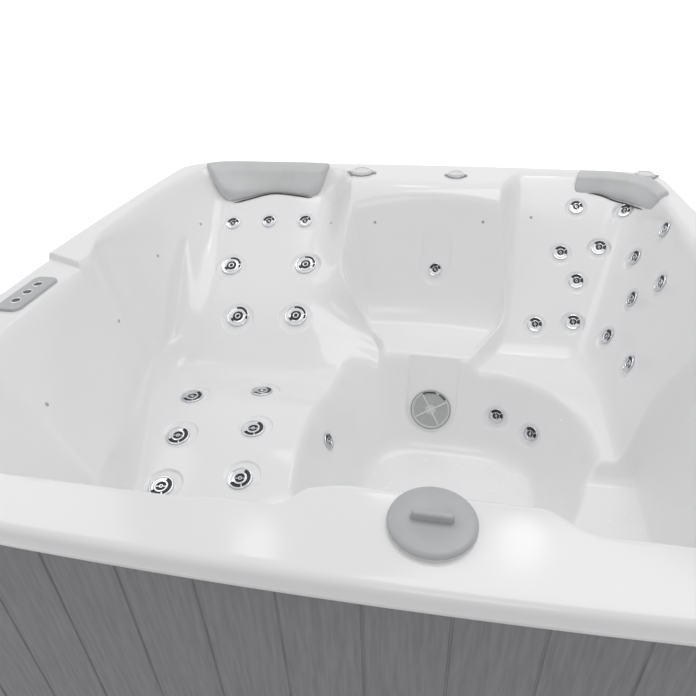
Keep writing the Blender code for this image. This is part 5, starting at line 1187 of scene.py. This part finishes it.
def pillow_rings(top_shares, bottom_shares, drop, corner):
    """Sections of a pillow from one end to the other, and the line of the dark cord under its lip, a painted
    shadow.
    """
    rings, edges = [], []
    last = STATIONS - 1
    for number, (tx, ty, bx, by) in enumerate(zip(*stations(top_shares), *stations(bottom_shares))):
        top, bottom = on_plan((tx, ty), 0), on_plan((bx, by), 0)
        end = max(0, 1 - 8 * min(number, last - number) / last) ** 2 * corner
        bottom = bottom.lerp(top, end)
        inward = (bottom - top).normalized()
        out = (inward + UP).normalized()
        brow = Vector((top.x, top.y, HEIGHT))
        lip = Vector((bottom.x, bottom.y, HEIGHT - drop * (1 - end)))
        # Point of the dark cord, a painted shadow, just in under the lip
        shadow_spot = bottom + inward * SHADOW_LINE_INSET
        edges.append(Vector((shadow_spot.x, shadow_spot.y, float(surface(shadow_spot.x, shadow_spot.y)) + SHADOW_LINE_LIFT)))
        ring = [brow + inward * reach + UP * lift for reach, lift in PILLOW_BROW]
        ring += [brow.lerp(lip, share) + out * lift for share, lift in PILLOW_FRONT]
        ring.append(lip - UP * 0.003)
        for share in PILLOW_BACK:
            back = bottom.lerp(top, share)
            level = float(surface(back.x, back.y)) + PILLOW_LIFT
            ring.append(Vector((back.x, back.y, min(level, HEIGHT + PILLOW_LIFT))))
        ring[-1] = ring[-1].lerp(brow - inward * 0.010 + UP * 0.001, 0.3)
        rings.append(ring)
    for end, nxt in ((0, 1), (-1, -2)):
        middle, close = (sum(rings[row], Vector()) / len(rings[row]) for row in (end, nxt))
        away = (middle - close).normalized()
        caps = [[point.lerp(middle, shrink) + away * reach for point in rings[end]]
                for shrink, reach in PILLOW_ENDS]
        rings = caps[::-1] + rings if end == 0 else rings + caps
    return rings, edges


def make_pillows():
    for name, top, bottom, drop, corner, first, end in (
            ("pillow_lounge", LOUNGE_PILLOW_TOP_SHARES, LOUNGE_PILLOW_BOTTOM_SHARES, LOUNGE_PILLOW_DROP,
             0.16, 2, -1),
            ("pillow_corner", CORNER_PILLOW_TOP_SHARES, CORNER_PILLOW_BOTTOM_SHARES, CORNER_PILLOW_DROP,
             0.04, 3, -3)):
        rings, edges = pillow_rings(top, bottom, drop, corner)
        obj = put(name + "_foam", Shape().loft(rings), FOAM, name, "foam", name, sharp=180)
        soft = obj.modifiers.new("soft", "SUBSURF")
        soft.levels = soft.render_levels = 2
        # A dark cord lying on the shell under the lip: painted shadow of the gap below the pillow
        put(name + "_painted_shadow", Shape().tube(edges[first:end], SHADOW_LINE_RADIUS), DARK, name, "foam")


# Cabinet: boards with grooves between them

BOARDS = 12
GROOVE = ((-0.0035, 0), (-0.0012, 0.0028), (0.0012, 0.0028), (0.0035, 0))
BOARD_EDGE = 0.0020
ARC_STEPS = 10


def panel_outline(inset, notched=False):
    """Plan points of one cabinet side, between the diagonals of its two corners, front side first."""
    half = HALF_WIDTH - CABINET_INSET
    reach = half - CABINET_CORNER_RADIUS
    radius = CABINET_CORNER_RADIUS - inset
    trim = CLEARANCE / CABINET_CORNER_RADIUS

    def arc(middle, start):
        angles = [start + (math.pi / 4 - trim) * step / ARC_STEPS for step in range(ARC_STEPS + 1)]
        return [(middle + radius * math.cos(angle), radius * math.sin(angle) - reach) for angle in angles]

    points = arc(-reach, math.radians(225) + trim)
    for step in range(BOARDS + 1):
        middle = -reach + 2 * reach * step / BOARDS
        points += [(middle + side, inset - half + (depth if notched else 0))
                   for side, depth in GROOVE if abs(middle + side) < reach]
    return points + arc(reach, math.radians(270))


def make_cabinet():
    top = HEIGHT - LIP_DROP - PANEL_TOP_GAP
    low = BASE_THICKNESS + CLEARANCE
    outer, inner, edge = panel_outline(0, True), panel_outline(PANEL_THICKNESS), panel_outline(BOARD_EDGE)
    rows = ((inner, low), (outer, low), (outer, top - BOARD_EDGE), (edge, top), (inner, top))
    for side, name in enumerate(("front_access_panel", "right_panel", "back_panel", "left_panel")):
        turn = Matrix.Rotation(side * math.pi / 2, 4, "Z")
        rings = [[turn @ Vector((*points[step], z)) for points, z in rows] for step in range(len(outer))]
        put(name + "_boards", Shape().loft(rings), BOARD, "tub" if side else name, "cabinet", name, sharp=30)
    half = HALF_WIDTH - CABINET_INSET
    pan = Shape().slab(half, half, CABINET_CORNER_RADIUS, 0, BASE_THICKNESS, 0.004, Matrix(), 16)
    put("base_tray", pan, DARK, "tub", "dark_plastic", "base_pan")


# What is behind the cabinet keeps its frame shape

def dress_nodes():
    for name, material in (
            ("frame", ZINC), ("pump_housing", DARK), ("pump_motor", PAINT), ("pump_rotor", STEEL),
            ("heater", STEEL), ("control_box", GREY), ("jet_manifold", WHITE), ("suction_pipe", WHITE),
            ("discharge_pipe", WHITE)):
        obj = frame["nodes"][name]
        if not obj.material_slots:
            obj.data.materials.append(material)
        for slot in obj.material_slots:
            slot.material = material


# Camera, lamps and floor: each lamp's name, place, aim, size and power

CAMERA_PLACE = (0.268, -1.586, 1.651)
CAMERA_ANGLES = (12.248, 32.759, -2.307)
SENSOR_WIDTH = 36
FOCAL_PIXELS = 600
IMAGE_WIDTH = 696
CAMERA_REACH = 200
WORLD_STRENGTH = 0.52
FLOOR_HALF = 60
FLOOR_COLOUR = (0.82, 0.82, 0.82, 1)
FLOOR_ROUGHNESS = 0.9
FLOOR_GLOW = 0.75
LAMPS = (
    ("key", (1.1, 0.7, 4.6), (0, 0, 0.5), 3.2, 50),
    ("side", (-3.0, 0.8, 3.6), (0, 0, 0.5), 2.0, 14),
    ("glint_1", (-0.25, 2.35, 4.1), (0, 0, 0.3), 0.4, 1.5),
    ("glint_2", (0.9, 1.9, 4.2), (0, 0, 0.3), 0.4, 1.5),
    ("glint_3", (-1.3, 1.6, 4.3), (0, 0, 0.3), 0.4, 1.5),
    ("front", (0.6, -3.6, 4.0), (0, 0, 0.4), 1.6, 10))


def make_camera():
    yaw, pitch, roll = (math.radians(angle) for angle in CAMERA_ANGLES)
    forward = Vector((-math.sin(yaw) * math.cos(pitch), math.cos(yaw) * math.cos(pitch), -math.sin(pitch)))
    right = forward.cross(UP).normalized()
    up = right.cross(forward)
    right, up = (math.cos(roll) * right + math.sin(roll) * up, math.cos(roll) * up - math.sin(roll) * right)
    data = bpy.data.cameras.new("camera")
    data.sensor_width = SENSOR_WIDTH
    data.lens = SENSOR_WIDTH * FOCAL_PIXELS / IMAGE_WIDTH
    data.clip_end = CAMERA_REACH
    obj = placed("camera", data)
    obj.matrix_world = Matrix.Translation(CAMERA_PLACE) @ Matrix((right, up, -forward)).transposed().to_4x4()
    bpy.context.scene.camera = obj


def make_lamps():
    for name, place, target, size, power in LAMPS:
        data = bpy.data.lights.new(name, "AREA")
        data.shape = "DISK"
        data.size = size
        data.energy = power
        turn = (Vector(target) - Vector(place)).to_track_quat("-Z", "Y").to_matrix().to_4x4()
        placed(name, data).matrix_world = Matrix.Translation(place) @ turn


def seen_white(tree):
    """One for camera, mirror and glass rays, and zero for the light that falls on the tub."""
    rays = node(tree, "LightPath").outputs
    first, second = node(tree, "Math", operation="MAXIMUM"), node(tree, "Math", operation="MAXIMUM")
    tree.links.new(rays["Is Camera Ray"], first.inputs[0])
    tree.links.new(rays["Is Glossy Ray"], first.inputs[1])
    tree.links.new(first.outputs[0], second.inputs[0])
    tree.links.new(rays["Is Transmission Ray"], second.inputs[1])
    return second.outputs[0]


def shown(tree, usual, seen, output):
    """Give rays that see the background another shader than the light."""
    mix = node(tree, "MixShader")
    tree.links.new(seen_white(tree), mix.inputs[0])
    tree.links.new(usual.outputs[0], mix.inputs[1])
    tree.links.new(seen.outputs[0], mix.inputs[2])
    tree.links.new(mix.outputs[0], tree.nodes[output].inputs["Surface"])


def make_world():
    world = bpy.data.worlds.new("studio")
    bpy.context.scene.world = world
    world.use_nodes = True
    tree = world.node_tree
    light = tree.nodes["Background"]
    light.inputs["Color"].default_value = (1, 1, 1, 1)
    light.inputs["Strength"].default_value = WORLD_STRENGTH
    shown(tree, light, node(tree, "Background", Color=(1, 1, 1, 1), Strength=1.0), "World Output")


def make_floor():
    data = bpy.data.meshes.new("floor")
    data.from_pydata([(x * FLOOR_HALF, y * FLOOR_HALF, 0) for x, y in ((-1, -1), (1, -1), (1, 1), (-1, 1))],
                     [], [(0, 1, 2, 3)])
    floor = placed("floor", data)
    paint = bpy.data.materials.new("floor_paint")
    paint.use_nodes = True
    tree = paint.node_tree
    shader = tree.nodes["Principled BSDF"]
    shader.inputs["Base Color"].default_value = FLOOR_COLOUR
    shader.inputs["Roughness"].default_value = FLOOR_ROUGHNESS
    shader.inputs["Specular IOR Level"].default_value = 0.0
    both = node(tree, "AddShader")
    tree.links.new(shader.outputs[0], both.inputs[0])
    tree.links.new(node(tree, "Emission", Strength=FLOOR_GLOW).outputs[0], both.inputs[1])
    shown(tree, shader, both, "Material Output")
    data.materials.append(paint)


make_camera()
make_world()
make_floor()
make_lamps()
bpy.context.scene.view_settings.view_transform = "Standard"
make_shell()
make_jets()
make_suction_cover()
make_pin_lights()
make_knobs()
make_control_panel()
make_filter()
make_pillows()
make_cabinet()
dress_nodes()

bpy.context.view_layer.update()
